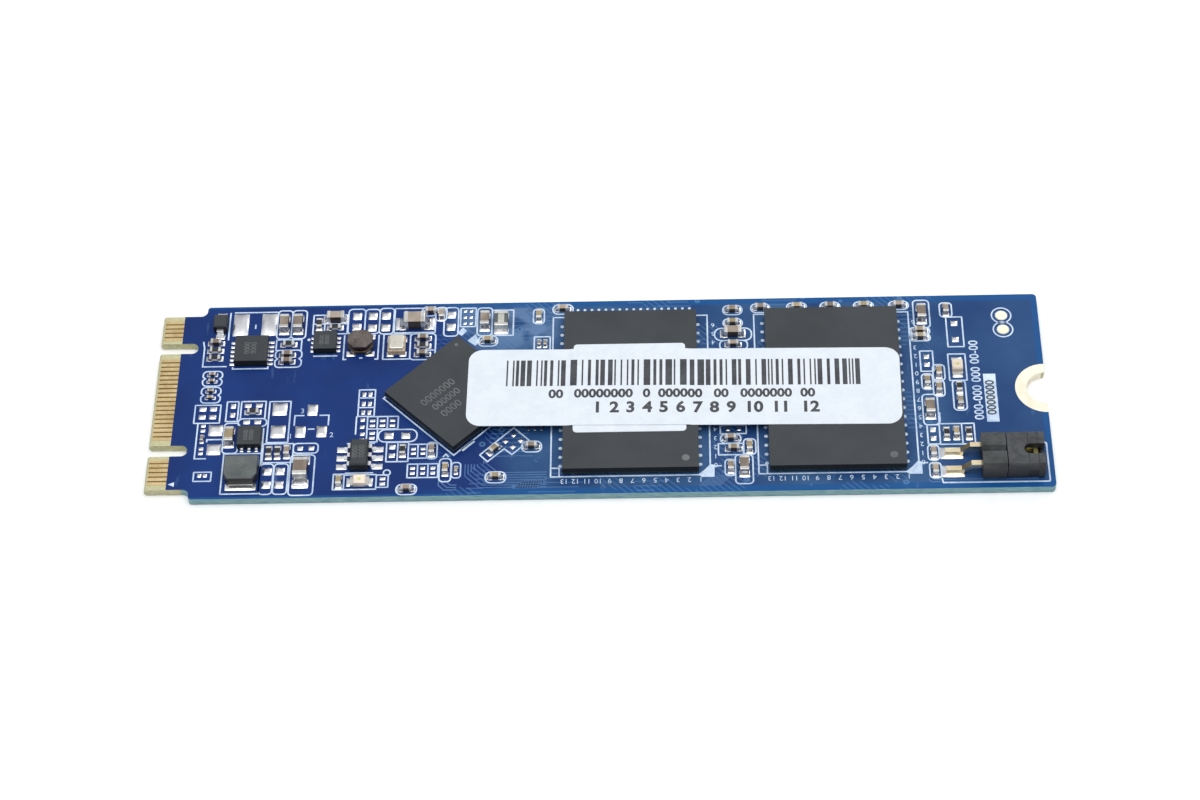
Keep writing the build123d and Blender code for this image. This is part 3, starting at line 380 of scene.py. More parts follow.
FINISHES = {
    "solder_mask": solder_mask(),
    "laminate": laminate(),
    "contact_gold": metal("contact_gold", (0.58, 0.42, 0.19), (0.84, 0.66, 0.36), 0.35),
    "tinned_copper": metal("tinned_copper", (0.62, 0.63, 0.65), (0.9, 0.9, 0.92), 0.25, 4.0),
    "solder": metal("reflowed_solder", (0.62, 0.62, 0.65), (0.93, 0.93, 0.95), 0.24, 1.6, 1.0, 1.0,
                    (1, 0.45, 1)),
    "package_substrate": plastic("package_substrate", (0.006, 0.014, 0.011),
                                 (0.012, 0.026, 0.02), 0.4),
    "mould_compound": mould_compound(),
    "silicon": metal("ground_silicon", (0.16, 0.17, 0.2), (0.24, 0.25, 0.29), 0.25, 3.0),
    "lead_tin": metal("lead_tin", (0.6, 0.61, 0.63), (0.82, 0.83, 0.85), 0.35),
    "chip_terminal": metal("chip_terminal", (0.46, 0.45, 0.43), (0.78, 0.77, 0.74), 0.33, 6.0,
                           0.3, 0.8),
    "capacitor_ceramic": capacitor_ceramic(),
    "alumina": plastic("alumina", (0.7, 0.7, 0.68), (0.85, 0.85, 0.83), 0.5),
    "resistor_glaze": plastic("resistor_glaze", (0.012, 0.013, 0.015), (0.03, 0.032, 0.034), 0.3),
    # The last colour is painted shade for the side faces.
    "ferrite": plastic("ferrite", (0.075, 0.085, 0.087), (0.125, 0.138, 0.136), 0.4, 7.0, 0.5,
                       (0.016, 0.017, 0.018)),
    "copper_winding": metal("copper_winding", (0.07, 0.035, 0.02), (0.16, 0.075, 0.04), 0.4, 3.0,
                            0.5, 1.0, (0.1, 0.1, 8)),
    "crystal_ceramic": plastic("crystal_ceramic", (0.42, 0.33, 0.23), (0.6, 0.5, 0.38), 0.5),
    "crystal_metal": metal("crystal_metal", (0.66, 0.62, 0.54), (0.88, 0.84, 0.75), 0.32, 5.0),
    "lamp_base": plastic("lamp_base", (0.55, 0.52, 0.42), (0.72, 0.69, 0.58), 0.45),
    "lamp_lens": plastic("lamp_lens", (0.62, 0.52, 0.42), (0.84, 0.74, 0.63), 0.22, 2.0),
    # The last colour is painted shade for the side faces.
    "header_plastic": plastic("header_plastic", (0.024, 0.027, 0.028), (0.060, 0.065, 0.068), 0.45,
                              4.0, 0.5, (0.020, 0.021, 0.022)),
    "pin_gold": metal("pin_gold", (0.75, 0.6, 0.36), (0.95, 0.84, 0.6), 0.22, 5.0, 0.15, 1.0,
                      (0.3, 1, 1)),
    # The last colour is painted shade for the side faces.
    "jumper_plastic": plastic("jumper_plastic", (0.026, 0.028, 0.031), (0.066, 0.071, 0.077), 0.45,
                              3.0, 0.6, (0.022, 0.023, 0.025)),
    "spring_bronze": metal("spring_bronze", (0.10, 0.09, 0.03), (0.3, 0.28, 0.12), 0.4),
    "label_paper": plastic("label_paper", (0.67, 0.72, 0.775), (0.72, 0.765, 0.82), 0.42, 2.5, 0.12),
}
INK = plastic("grey_ink", (0.035, 0.038, 0.044), (0.07, 0.075, 0.085), 0.5)
SILK = plastic("silkscreen_ink", (0.40, 0.52, 0.70), (0.66, 0.77, 0.90), 0.5, 3.0, 0.2)
LASER = plastic("laser_marking", (0.10, 0.105, 0.11), (0.15, 0.155, 0.16), 0.55, 3.0, 0.2)

for part in frame["record"]["subparts"]:
    mesh = NODES[part["node"]].data
    mesh.materials.clear()
    mesh.materials.append(FINISHES[part["material_slot"]])
# The drum core's last colour is painted shade for its side faces.
NODES["drum_inductor_core"].data.materials[0] = plastic(
    "brown_ferrite", (0.055, 0.042, 0.038), (0.15, 0.125, 0.112), 0.5, 7.0, 0.4,
    (0.03, 0.024, 0.022))
NODES["screw_notch_ring"].data.materials[0] = metal(
    "pale_gold_ring", (0.78, 0.72, 0.56), (0.90, 0.86, 0.72), 0.5, 5.0, 0.3, 0.4)
floor.data.materials.append(plastic("white_sweep", (0.92, 0.92, 0.92), (0.95, 0.95, 0.95), 0.8))
print(len(FINISHES), "finishes on", len(NODES), "CAD nodes")

# %% [markdown]
# ## Building pieces from arrays
# Every added piece is a surface on a grid: a section with a few points is carried along
# a path, and numpy works out all the points at once. Several such surfaces are gathered
# into one mesh, so that a whole drawing of printed lines is one piece.

# %% Gathering grids into a piece
class Gatherer:
    """Collects points and faces of many small surfaces into one mesh."""

    def __init__(self):
        self.points, self.faces, self.count = [], [], 0

    def take(self, points, faces):
        self.points.append(np.asarray(points, float).reshape(-1, 3))
        self.faces += [tuple(int(i) + self.count for i in face) for face in faces]
        self.count += len(self.points[-1])

    def tube(self, rings, closed=False):
        """Rings of equal length joined to a tube; open ends get a flat cap."""
        rings = np.asarray(rings, float)
        rows, columns = rings.shape[:2]
        index = np.arange(rows * columns).reshape(rows, columns)
        ahead = np.roll(index, -1, 0) if closed else index[1:]
        here = index if closed else index[:-1]
        quads = np.stack([here, np.roll(here, -1, 1), np.roll(ahead, -1, 1), ahead], -1)
        faces = quads.reshape(-1, 4).tolist()
        if not closed:
            faces += [index[0][::-1].tolist(), index[-1].tolist()]
        self.take(rings, faces)

    def piece(self, name, material, body="card", smooth=False):
        """Finish the mesh: millimetres to metres, outward normals, one finish, one body."""
        mesh = bpy.data.meshes.new(name)
        mesh.from_pydata((np.concatenate(self.points) * MM).tolist(), [], self.faces)
        mesh.validate()
        made = bpy.data.objects.new(name, mesh)
        bpy.context.scene.collection.objects.link(made)
        mesh.materials.append(material)
        if smooth:
            mesh.shade_smooth()
        else:
            mesh.shade_flat()
        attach(made, body)
        print(name, len(mesh.vertices), "points")
        return made


CARD_TOP = 0.8
MASK_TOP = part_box("solder_mask_top")[1][2] / MM
INK_HEIGHT = 0.018

# %% [markdown]
# ## Printed lines on the card
# White ink is screened on round every part. Each line is a ribbon: a path in the plane,
# offset to both sides by half the line's width with mitred corners, and raised by the
# thickness of the ink.

# %% Ribbons, boxes and ovals
def ribbon(gather, path, width=0.135, low=None, height=INK_HEIGHT, closed=False):
    """Offset each point of a path by half the width along the mitre of its two sides."""
    low = MASK_TOP - 0.002 if low is None else low
    path = np.asarray(path, float)
    step = np.roll(path, -1, 0) - path
    if not closed:
        step[-1] = step[-2]
    step /= np.linalg.norm(step, axis=1, keepdims=True)
    before = np.roll(step, 1, 0)
    if not closed:
        before[0] = step[0]
    mean = step + before
    mean /= np.linalg.norm(mean, axis=1, keepdims=True)
    reach = width / 2 / np.clip((mean * step).sum(1), 0.5, 1)
    side = np.column_stack([-mean[:, 1], mean[:, 0]]) * reach[:, None]
    left, right = path + side, path - side
    flat = [np.column_stack([edge, np.full(len(path), z)]) for edge, z in
            ((right, low), (right, low + height), (left, low + height), (left, low))]
    gather.tube(np.stack(flat, 1)[:, ::-1], closed)


def rounded_box(x0, x1, y0, y1, radius, steps=4):
    """Closed path round a box whose corners are quarter circles."""
    radius = min(radius, abs(x1 - x0) / 2 - 0.02, abs(y1 - y0) / 2 - 0.02)
    quarter = np.linspace(0, math.pi / 2, steps + 1)
    centres = ((x1 - radius, y1 - radius), (x0 + radius, y1 - radius),
               (x0 + radius, y0 + radius), (x1 - radius, y0 + radius))
    turns = [quarter + n * math.pi / 2 for n in range(4)]
    return np.concatenate([np.column_stack([cx + radius * np.cos(t), cy + radius * np.sin(t)])
                           for (cx, cy), t in zip(centres, turns)])


def waisted_box(x0, x1, y0, y1, radius=0.4, depth=0.22):
    """A rounded box with a small notch half-way up each long side, between its two pads."""
    path = rounded_box(x0, x1, y0, y1, radius, 5)
    middle = (y0 + y1) / 2
    left = [(x0, middle + depth), (x0 + depth, middle), (x0, middle - depth)]
    right = [(x1, middle - depth), (x1 - depth, middle), (x1, middle + depth)]
    return np.concatenate([path[:12], left, path[12:], right])


SQUARE, SOFT, OVAL = 0.02, 0.35, 0.6
BOXES = [
    # left block: sense parts, regulator, converter
    (-36.2, -33.9, -2.55, -0.5, SQUARE), (-35.7, -34.15, -9.05, -8.05, SQUARE),
    (-33.35, -32.3, -2.4, -0.15, SQUARE), (-32.05, -29.85, -2.12, -0.15, SQUARE),
    (-32.2, -29.65, -3.0, -2.12, 0.4), (-33.4, -32.05, -6.0, -2.6, SOFT),
    (-33.2, -29.85, -10.5, -6.05, SQUARE), (-29.5, -27.6, -4.85, -0.2, SQUARE),
    (-29.75, -27.05, -7.1, -5.0, SQUARE), (-27.05, -24.85, -6.1, -5.0, SOFT),
    (-27.2, -25.05, -10.75, -6.3, SOFT), (-29.45, -28.12, 7.1, 10.45, SOFT),
    (-28.12, -26.8, 7.1, 10.45, SOFT), (-29.85, -28.66, -10.6, -7.25, SOFT),
    (-28.6, -27.35, -10.6, -7.25, SOFT), (-29.4, -27.1, 5.75, 6.98, SQUARE),
    (-26.15, -23.0, 7.6, 9.85, SQUARE),
    # clock and supply block
    (-22.95, -21.42, 7.55, 10.5, SOFT), (-21.42, -20.08, 7.55, 10.45, SOFT),
    (-20.08, -18.78, 7.5, 10.55, SOFT), (-19.6, -17.15, 4.5, 7.45, SQUARE),
    (-17.15, -14.85, 4.4, 7.45, SOFT), (-18.7, -14.95, 7.6, 10.5, SQUARE),
    (-16.2, -14.9, 9.55, 10.62, 0.4), (-14.95, -13.95, 8.95, 10.55, SOFT),
    (-21.5, -20.05, 0.05, 0.98, SQUARE), (-21.5, -20.05, -1.05, 0.05, SQUARE),
    (-21.5, -20.05, -2.05, -1.05, SQUARE), (-20.6, -19.7, -3.5, -2.1, SQUARE),
    (-19.7, -18.8, -3.5, -2.1, SQUARE), (-18.8, -17.85, -3.5, -2.1, SQUARE),
    (-20.6, -19.65, -4.95, -3.5, SQUARE), (-19.55, -16.1, -4.98, -3.6, OVAL),
    (-18.75, -17.75, -7.2, -5.05, SQUARE), (-17.75, -16.8, -7.2, -5.05, SQUARE),
    (-16.8, -15.95, -6.85, -5.3, SQUARE), (-15.95, -15.15, -6.85, -5.3, SQUARE),
    (-15.15, -14.25, -6.95, -5.1, SOFT), (-16.8, -15.9, -9.0, -7.5, SQUARE),
    (-15.9, -14.98, -9.0, -7.5, SQUARE), (-14.98, -14.1, -9.0, -7.5, SQUARE),
    (-22.35, -19.5, -10.2, -8.6, SQUARE), (-23.3, -22.35, -10.2, -8.5, SQUARE),
    (-19.5, -18.45, -10.0, -8.65, SQUARE), (-17.7, -15.9, -10.85, -9.72, 0.5),
    # beside the controller and the first memory
    (-13.98, -12.95, -9.5, -6.95, SOFT), (-12.9, -12.1, -9.1, -7.4, 0.3),
    (-14.15, -12.85, 7.1, 10.5, SOFT), (-12.65, -11.25, 8.2, 10.4, SQUARE),
    (-11.1, -9.75, 7.1, 10.4, SOFT), (-9.75, -7.8, 7.1, 10.1, SQUARE),
    (-10.95, -9.2, 5.85, 7.05, 0.5), (-5.98, -4.98, 8.4, 10.15, SOFT),
    (-5.85, -4.4, 5.2, 6.85, SQUARE), (-4.2, -2.35, 9.5, 10.62, 0.5),
    (-6.75, -5.0, -6.35, -5.15, 0.5), (-9.9, -8.1, -9.7, -8.5, 0.5),
    (-4.15, 9.9, -9.15, 9.1, SQUARE), (14.15, 28.2, -9.15, 9.1, SQUARE),
    # between the memories
    (11.35, 13.1, 9.1, 10.2, 0.5), (13.9, 15.65, 9.3, 10.35, 0.5),
    (11.35, 13.1, 7.6, 8.62, 0.5), (10.55, 13.9, 6.05, 7.5, 0.6),
    (11.0, 13.5, 5.0, 6.05, 0.4), (10.85, 13.15, -4.65, -3.7, SQUARE),
    (10.85, 12.65, -5.72, -4.7, 0.45), (10.65, 12.85, -7.0, -5.75, SQUARE),
    (12.88, 13.95, -7.0, -5.25, SOFT), (12.1, 13.65, -10.2, -7.02, SOFT),
    (11.2, 12.1, -9.3, -7.5, SOFT),
    # between the second memory and the notch
    (28.7, 30.15, 7.2, 10.45, SOFT), (28.25, 30.05, 6.42, 7.2, 0.3),
    (28.25, 30.05, 5.65, 6.42, 0.3), (29.0, 30.15, 2.1, 4.45, SQUARE),
    (30.05, 31.1, 1.02, 2.85, SOFT), (29.0, 29.98, 0.0, 1.8, SOFT),
    (29.98, 30.98, -0.8, 1.02, SOFT), (28.9, 30.25, -4.0, -0.55, SOFT),
    (29.15, 30.22, -6.15, -4.0, SQUARE), (30.22, 32.2, -6.2, -3.9, SQUARE),
    (32.2, 33.3, -6.2, -3.9, SQUARE), (29.05, 30.02, -7.95, -6.25, SOFT),
    (29.1, 30.1, -9.9, -8.2, SOFT), (31.1, 32.2, 8.4, 10.1, SOFT),
    (31.6, 33.05, 4.9, 8.4, SQUARE), (31.5, 33.05, 1.0, 4.05, SQUARE),
    (31.7, 32.85, -2.4, 1.0, SOFT),
]
WAISTED = [
    (-35.8, -34.05, 1.7, 3.4), (-35.8, -34.05, -0.25, 1.55), (-29.4, -27.0, 3.75, 5.75),
]
ARCS = [(x - 0.9, x + 0.9, 9.4, 10.38, 0.5) for x in (18.1, 21.15, 24.2, 27.4)]
LINES = [
    [(-33.85, 10.3), (-33.85, 7.05)],
    [(-36.1, 6.9), (-35.95, 6.15), (-35.95, 3.95), (-33.75, 3.95)],
    [(-35.8, -2.6), (-35.8, -6.55), (-34.75, -6.55)],
    [(-34.85, -4.7), (-34.85, -4.42), (-33.45, -4.42), (-33.45, -4.7)],
    [(-33.5, 10.3), (-29.5, 10.3)], [(-31.45, 8.35), (-31.45, 8.85)],
    [(-33.2, 3.9), (-33.2, 3.65), (-30.0, 3.65), (-30.0, 3.9)],
    [(-29.85, -3.2), (-29.85, -6.05)],
    [(-26.3, -1.85), (-27.15, -1.85), (-27.15, -3.0)],
    [(-24.95, -1.85), (-24.1, -1.85), (-24.1, -3.0)], [(-25.9, -3.4), (-25.3, -3.4)],
    [(-25.95, 5.0), (-23.75, 5.0)], [(-26.15, 8.8), (-23.0, 8.8)], [(-25.1, 7.6), (-25.1, 9.85)],
    [(-23.2, 7.4), (-23.2, 4.55), (-22.9, 4.55)], [(-20.05, 7.4), (-20.05, 4.55), (-20.35, 4.55)],
    [(-21.75, 4.7), (-21.45, 4.7)], [(-21.6, -2.05), (-21.6, -4.1)],
    [(-22.3, -5.1), (-19.8, -5.1)], [(-22.3, -8.4), (-19.8, -8.4)],
    [(-15.8, 5.5), (-14.85, 5.5)],
    [(-10.45, -6.6), (-9.75, -7.35), (-8.3, -5.95), (-7.6, -6.6), (-6.35, -5.35)],
    [(-10.45, -6.6), (-7.5, -3.6), (-6.1, -5.05)],
    [(-13.7, -6.75), (-13.45, -6.45), (-13.2, -6.75)],
    [(30.1, -9.9), (30.2, -10.42), (39.45, -10.42), (39.5, -10.3), (39.5, -6.25), (39.3, -6.1)],
    [(30.35, -2.6), (30.35, -3.6), (30.22, -3.9)],
    [(9.9, -8.2), (10.9, -8.2)], [(28.2, -8.2), (29.0, -8.2)],
    [(-4.15, -8.2), (-3.4, -8.2), (-3.4, -9.15)], [(14.15, -8.2), (14.9, -8.2), (14.9, -9.15)],
]

print(len(BOXES), "boxes and", len(LINES), "lines")

# %% [markdown]
# Neighbouring outlines share a side. Two ribbons in exactly the same place would shade each
# other, so each one is a thousandth of a millimetre higher than the last, in turn.

# %% Screen the lines onto the card
outlines = Gatherer()
for number, (x0, x1, y0, y1, radius) in enumerate(BOXES + ARCS):
    ribbon(outlines, rounded_box(x0, x1, y0, y1, radius), height=INK_HEIGHT + 0.001 * (number % 7),
           closed=True)
for number, (x0, x1, y0, y1) in enumerate(WAISTED):
    ribbon(outlines, waisted_box(x0, x1, y0, y1), height=INK_HEIGHT + 0.001 * (number % 3), closed=True)
for number, line in enumerate(LINES):
    ribbon(outlines, line, height=INK_HEIGHT + 0.0015 + 0.001 * (number % 5))

controller_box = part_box("controller_mould_cap")
centre = [(controller_box[0][i] + controller_box[1][i]) / 2 / MM for i in (0, 1)]
DIAMOND = 6.55
corners = [(centre[0] + DIAMOND * math.cos(a), centre[1] + DIAMOND * math.sin(a))
           for a in np.radians([0, 90, 180, 270])]
ribbon(outlines, corners, 0.14, closed=True)
ring = np.linspace(0, 2 * math.pi, 25)[:-1]
for x, y, radius in ((36.65, 8.5, 0.88), (36.7, 6.85, 0.88), (-18.6, -8.4, 0.3)):
    ribbon(outlines, np.column_stack([x + radius * np.cos(ring), y + radius * np.sin(ring)]),
           0.13, closed=True)
outlines.piece("printed_outlines", SILK)


# %% [markdown]
# ## Dots, patches and numbers
# Pin-one dots, corner marks and the rows of dots beside the memories are filled shapes.
# The numbers that count the ball rows are set as text, turned into a mesh and placed.

# %% Filled marks
def disc(gather, x, y, radius, low=None, sides=12, height=INK_HEIGHT):
    """A low drum: a ring of points at the bottom and one at the top, both capped."""
    low = MASK_TOP - 0.002 if low is None else low
    turn = np.linspace(0, 2 * math.pi, sides + 1)[:-1]
    circle = np.column_stack([x + radius * np.cos(turn), y + radius * np.sin(turn)])
    gather.tube([np.column_stack([circle, np.full(sides, low + h)]) for h in (0, height)])


def patch(gather, corners, low=None, height=INK_HEIGHT):
    """A flat filled polygon with the thickness of ink."""
    low = MASK_TOP - 0.002 if low is None else low
    flat = np.asarray(corners, float)
    gather.tube([np.column_stack([flat, np.full(len(flat), low + h)]) for h in (0, height)])


marks = Gatherer()
memory_sides = []
for number in (1, 2):
    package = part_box(f"memory_{number}_mould_cap")
    low_corner, high_corner = (np.array(corner) / MM for corner in package)
    memory_sides.append((low_corner[0], high_corner[0]))
    for step in range(-8, 9):
        for x in (low_corner[0] - 0.22, high_corner[0] + 0.14):
            disc(marks, x, step, 0.17)
    corner = [(-0.1, -9.15), (0.25, -9.4), (1.35, -9.4), (1.38, -8.1), (1.0, -8.0), (0.5, -8.6)]
    patch(marks, [(high_corner[0] + x, y) for x, y in corner], height=INK_HEIGHT + 0.012)
for x in np.linspace(memory_sides[0][0] + 1.2, memory_sides[0][1] - 0.6, 17):
    disc(marks, x, 9.95, 0.13)
patch(marks, [(-37.9, -9.35), (-37.35, -9.6), (-37.35, -9.1)])
patch(marks, [(34.5, -3.75), (35.6, -3.75), (35.6, 1.7), (34.5, 1.7)])
patch(marks, [(-12.9, 7.5), (-12.4, 8.1), (-12.0, 7.7), (-12.5, 7.1)])
patch(marks, [(-11.95, 6.55), (-11.2, 7.3), (-10.9, 6.4), (-11.2, 5.9)])
disc(marks, -26.45, 6.95, 0.15)
for step in np.linspace(0, 1, 8):
    disc(marks, -18.7 + 4.4 * step, 1.15 + 4.4 * step, 0.1)
ribbon(marks, [(-12.05, -6.05), (-11.0, -5.0)], 0.3)
marks.piece("printed_marks", SILK)


# %% [markdown]
# ## Numbers
# A number is set as a flat curve, turned into a mesh while it still lies at the origin,
# and then its points are turned and moved. It then needs no object transform of its own.

# %% Numbers set as text
def lettering(gather, text, x, y, size, low, height, turn=0.0, weight=0.0):
    """Set digits as a curve, make it a mesh, turn it about its middle and place it."""
    curve = bpy.data.curves.new("setting", "FONT")
    curve.body, curve.size = text, size * 1.38
    curve.align_x, curve.align_y = "CENTER", "CENTER"
    curve.offset = weight * size
    curve.resolution_u = 3
    curve.extrude = height / 2
    holder = bpy.data.objects.new("setting", curve)
    bpy.context.scene.collection.objects.link(holder)
    shape = bpy.data.meshes.new_from_object(holder.evaluated_get(
        bpy.context.evaluated_depsgraph_get()))
    flat = np.zeros(len(shape.vertices) * 3)
    shape.vertices.foreach_get("co", flat)
    flat = flat.reshape(-1, 3)
    cos, sin = math.cos(turn), math.sin(turn)
    placed = np.column_stack([x + flat[:, 0] * cos - flat[:, 1] * sin,
                              y + flat[:, 0] * sin + flat[:, 1] * cos,
                              low + height / 2 + flat[:, 2]])
    gather.take(placed, [tuple(face.vertices) for face in shape.polygons])
    bpy.data.objects.remove(holder)
    bpy.data.curves.remove(curve)
    bpy.data.meshes.remove(shape)


# %% Numbers round the memories and on the right of the card
numbers = Gatherer()
for left_side, right_side in memory_sides:
    for count in range(13):
        x = left_side + 0.15 + count * (right_side - left_side) / 12
        lettering(numbers, str(13 - count), x, -9.65, 0.52, MASK_TOP, INK_HEIGHT, math.pi)
for text, x, y in (("3", -26.5, -1.35), ("2", -23.75, -4.1), ("1", -27.4, -4.2)):
    lettering(numbers, text, x, y, 0.55, MASK_TOP, INK_HEIGHT)
for side in memory_sides:
    for step in range(17):
        lettering(numbers, str(step % 10), side[1] + 1.5, step - 8.1, 0.5, MASK_TOP, INK_HEIGHT, math.pi)
lettering(numbers, "000-000 000 00-00", 33.9, 1.05, 0.86, MASK_TOP, INK_HEIGHT, math.pi / 2, 0.015)
numbers.piece("printed_numbers", SILK)
box_number = Gatherer()
lettering(box_number, "0000000", 35.05, -1.0, 0.82, MASK_TOP + INK_HEIGHT - 0.003, 0.006,
          math.pi / 2, 0.03)
box_number.piece("box_number", INK)

# %% [markdown]
# ## Tracks under the lacquer
# Bundles of copper tracks leave the controller side by side. Each one runs straight,
# turns by a 45 degree cut and runs straight again, a fixed gap inside the one before, and
# the lacquer over it looks paler.

# %% Track bundles
tracks = Gatherer()


def bundle(corner, start, end, count, gap, cut, flip=1):
    """Nested paths: down from start, a 45 degree cut near the corner, then along to the end."""
    for number in range(count):
        x, y = corner[0] + gap * number, corner[1] + flip * gap * number
        path = [(x, start), (x, y + flip * cut), (x + cut, y), (end, y)]
        ribbon(tracks, path[::flip], 0.11, MASK_TOP - 0.003, 0.0065)


bundle((-11.7, -10.2), -7.6, -4.5, 7, 0.27, 1.3)
bundle((-9.2, 5.2), 10.1, -4.6, 6, -0.27, 0.9)
bundle((-14.0, -10.4), -9.3, -12.4, 3, 0.27, 0.5)
bundle((10.3, 0.2), 5.2, 13.6, 6, 0.3, 0.8)
bundle((29.0, -10.3), -9.9, 38.5, 2, 0.25, 0.2)
for number in range(9):
    x = 8.9 + 0.22 * number
    ribbon(tracks, [(x, -10.35), (x + 1.2, -9.15)], 0.09, MASK_TOP - 0.003, 0.0065)
    ribbon(tracks, [(x - 16.2, -10.35), (x - 15.3, -9.45)], 0.09, MASK_TOP - 0.003, 0.0065)
PALE_MASK = plastic("mask_over_track", (0.030, 0.095, 0.24), (0.07, 0.16, 0.34), 0.35)
tracks.piece("tracks_under_mask", PALE_MASK)

# %% [markdown]
# ## Small faces
# The test pads are gold, the lamps carry a dot of yellow phosphor, and the ferrite bead has
# a pale glazed stripe. Each is a thin disc or patch that lies on its part.

# %% Gold faces of the two test pads and the stripe on the ferrite bead
test_faces = Gatherer()
for x, y in ((36.65, 8.5), (36.7, 6.85)):
    disc(test_faces, x, y, 0.5, CARD_TOP - 0.002, 24, 0.03)
test_faces.piece("test_pad_faces", metal("cream_gold", (0.82, 0.76, 0.55), (0.95, 0.91, 0.72), 0.5,
                                         5.0, 0.3, 0.4))
bead_low, bead_high = (np.array(corner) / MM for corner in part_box("ferrite_bead_body"))
stripe = Gatherer()
third = (bead_high[0] - bead_low[0]) / 3
x0, x1 = bead_low[0] + third * 0.8, bead_high[0] - third * 0.8
y0, y1 = bead_low[1] + 0.02, bead_high[1] - 0.02
patch(stripe, [(x0, y0), (x1, y0), (x1, y1), (x0, y1)], bead_high[2] - 0.004, 0.012)
stripe.piece("ferrite_bead_stripe", plastic("fired_glaze", (0.42, 0.42, 0.38), (0.62, 0.61, 0.56), 0.35))

# %% [markdown]
# ## Solder
# Molten solder wets a pad to its edges and freezes as a low pillow. Against a part's end
# it climbs in a hollow curve. The pads are read from the frame, so each pillow and each
# fillet lands exactly where the card needs it.

# %% Read pads and terminals from the frame
def boxes_of(node):
    """The points of each separate solid in a CAD node: points that share a face share a label."""
    mesh = NODES[node].data
    points = np.zeros(len(mesh.vertices) * 3)
    mesh.vertices.foreach_get("co", points)
    points = points.reshape(-1, 3) / MM
    keys, same = np.unique(np.round(points, 4), axis=0, return_inverse=True)
    same = same.reshape(-1)
    mesh.calc_loop_triangles()
    corner = np.zeros(len(mesh.loop_triangles) * 3, int)
    mesh.loop_triangles.foreach_get("vertices", corner)
    corner = same[corner].reshape(-1, 3)
    label = np.arange(len(keys))
    while True:
        lowest = label[corner].min(1)
        fresh = label.copy()
        for side in range(3):
            np.minimum.at(fresh, corner[:, side], lowest)
        fresh = fresh[fresh]
        if (fresh == label).all():
            break
        label = fresh
    return [keys[label == name] for name in np.unique(label)]


def flat_box(points):
    """Middle and two half-side vectors of a box's outline, from its highest points."""
    outline = points[points[:, 2] > points[:, 2].max() - 0.01][:, :2]
    middle = outline.mean(0)
    offset = outline - middle
    far = offset[np.argmax((offset ** 2).sum(1))]
    beside = offset[np.argmin(np.abs((offset ** 2).sum(1) - (far ** 2).sum())
                              + 10 * (np.abs(offset @ far) > 0.98 * (far ** 2).sum()))]
    return middle, (far + beside) / 2, (far - beside) / 2


def pillow(gather, middle, along, across, low, height, rows=7):
    """Height times (1 - u^4)(1 - v^4) over the pad, higher on a wide pad than on a narrow one."""
    height *= min(np.linalg.norm(along), np.linalg.norm(across), 0.5) / 0.3
    u, v = np.meshgrid(np.linspace(-1, 1, rows), np.linspace(-1, 1, rows), indexing="ij")
    shrink = 1.0 - 0.06 * (u ** 2) * (v ** 2)
    plan = middle + (u * shrink)[..., None] * along + (v * shrink)[..., None] * across
    top = low + 0.004 + height * (1 - u ** 4) * (1 - v ** 4)
    grid = np.dstack([plan, top])
    index = np.arange(rows * rows).reshape(rows, rows)
    quads = np.stack([index[:-1, :-1], index[1:, :-1], index[1:, 1:], index[:-1, 1:]], -1)
    gather.take(grid.reshape(-1, 3), quads.reshape(-1, 4).tolist())


# %% Phosphor dots and painted shade between the fingers
phosphor = Gatherer()
for island in boxes_of("lamp_lenses"):
    x, y = (island.min(0) + island.max(0))[:2] / 2
    disc(phosphor, x, y, 0.17, island[:, 2].max() - 0.004, 14, 0.01)
phosphor.piece("lamp_phosphor", plastic("yellow_phosphor", (0.42, 0.38, 0.10), (0.66, 0.62, 0.24), 0.4))
# Dark brown strips in the narrow gaps between the gold fingers: painted shadow where the gaps lie in
# shade.
finger_gap_shade = Gatherer()
fingers = sorted(boxes_of("edge_fingers_top"), key=lambda points: points[:, 1].mean())
for near, far in zip(fingers, fingers[1:]):
    y0, y1 = near[:, 1].max(), far[:, 1].min()
    if y1 - y0 < 0.5:
        x0, x1, top = near[:, 0].min(), near[:, 0].max(), near[:, 2].max()
        patch(finger_gap_shade, [(x0, y0), (x1, y0), (x1, y1), (x0, y1)], top - 0.03, 0.02)
finger_gap_shade.piece("finger_gap_painted_shade", plastic("painted_gap_shade", (0.10, 0.055, 0.015), (0.2, 0.12, 0.04), 0.6))

# %% Pillows of solder
# a rectangular pad has no more points than this, and a round one has more
BOX_POINTS = 12
bare = Gatherer()
for island in boxes_of("empty_pads"):
    if len(island) <= BOX_POINTS:
        middle, along, across = flat_box(island)
        pillow(bare, middle, along, across, CARD_TOP, 0.075)
bare.piece("bare_pad_solder", FINISHES["solder"], smooth=True)
wet = Gatherer()
for island in boxes_of("component_pads"):
    middle, along, across = flat_box(island)
    pillow(wet, middle, along, across, CARD_TOP, 0.05)
wet.piece("fitted_pad_solder", FINISHES["solder"], smooth=True)


# %% [markdown]
# ## Solder fillets
# Each terminal of a chip part has a fillet at its outer end. Its height falls from most
# of the terminal's height to nothing at the pad's edge, along a hollow curve.

# %% Fillets at the ends of chips
def fillet(gather, middle, outward, half_width, reach, height, rows=6, columns=9):
    """Height times (1 - s)^2.3 along the pad, flat-topped across it, over a thin film."""
    s, t = np.meshgrid(np.linspace(0, 1, rows), np.linspace(-1, 1, columns), indexing="ij")
    across = np.array([-outward[1], outward[0]])
    plan = (middle + (s * reach)[..., None] * outward
            + (t * half_width * (1 + 0.18 * s))[..., None] * across)
    z = CARD_TOP + 0.004 + height * (1 - s) ** 2.3 * (1 - np.abs(t) ** 5) + 0.03 * (1 - s ** 4)
    index = np.arange(rows * columns).reshape(rows, columns)
    quads = np.stack([index[:-1, :-1], index[1:, :-1], index[1:, 1:], index[:-1, 1:]], -1)
    gather.take(np.dstack([plan, z]).reshape(-1, 3), quads.reshape(-1, 4).tolist())


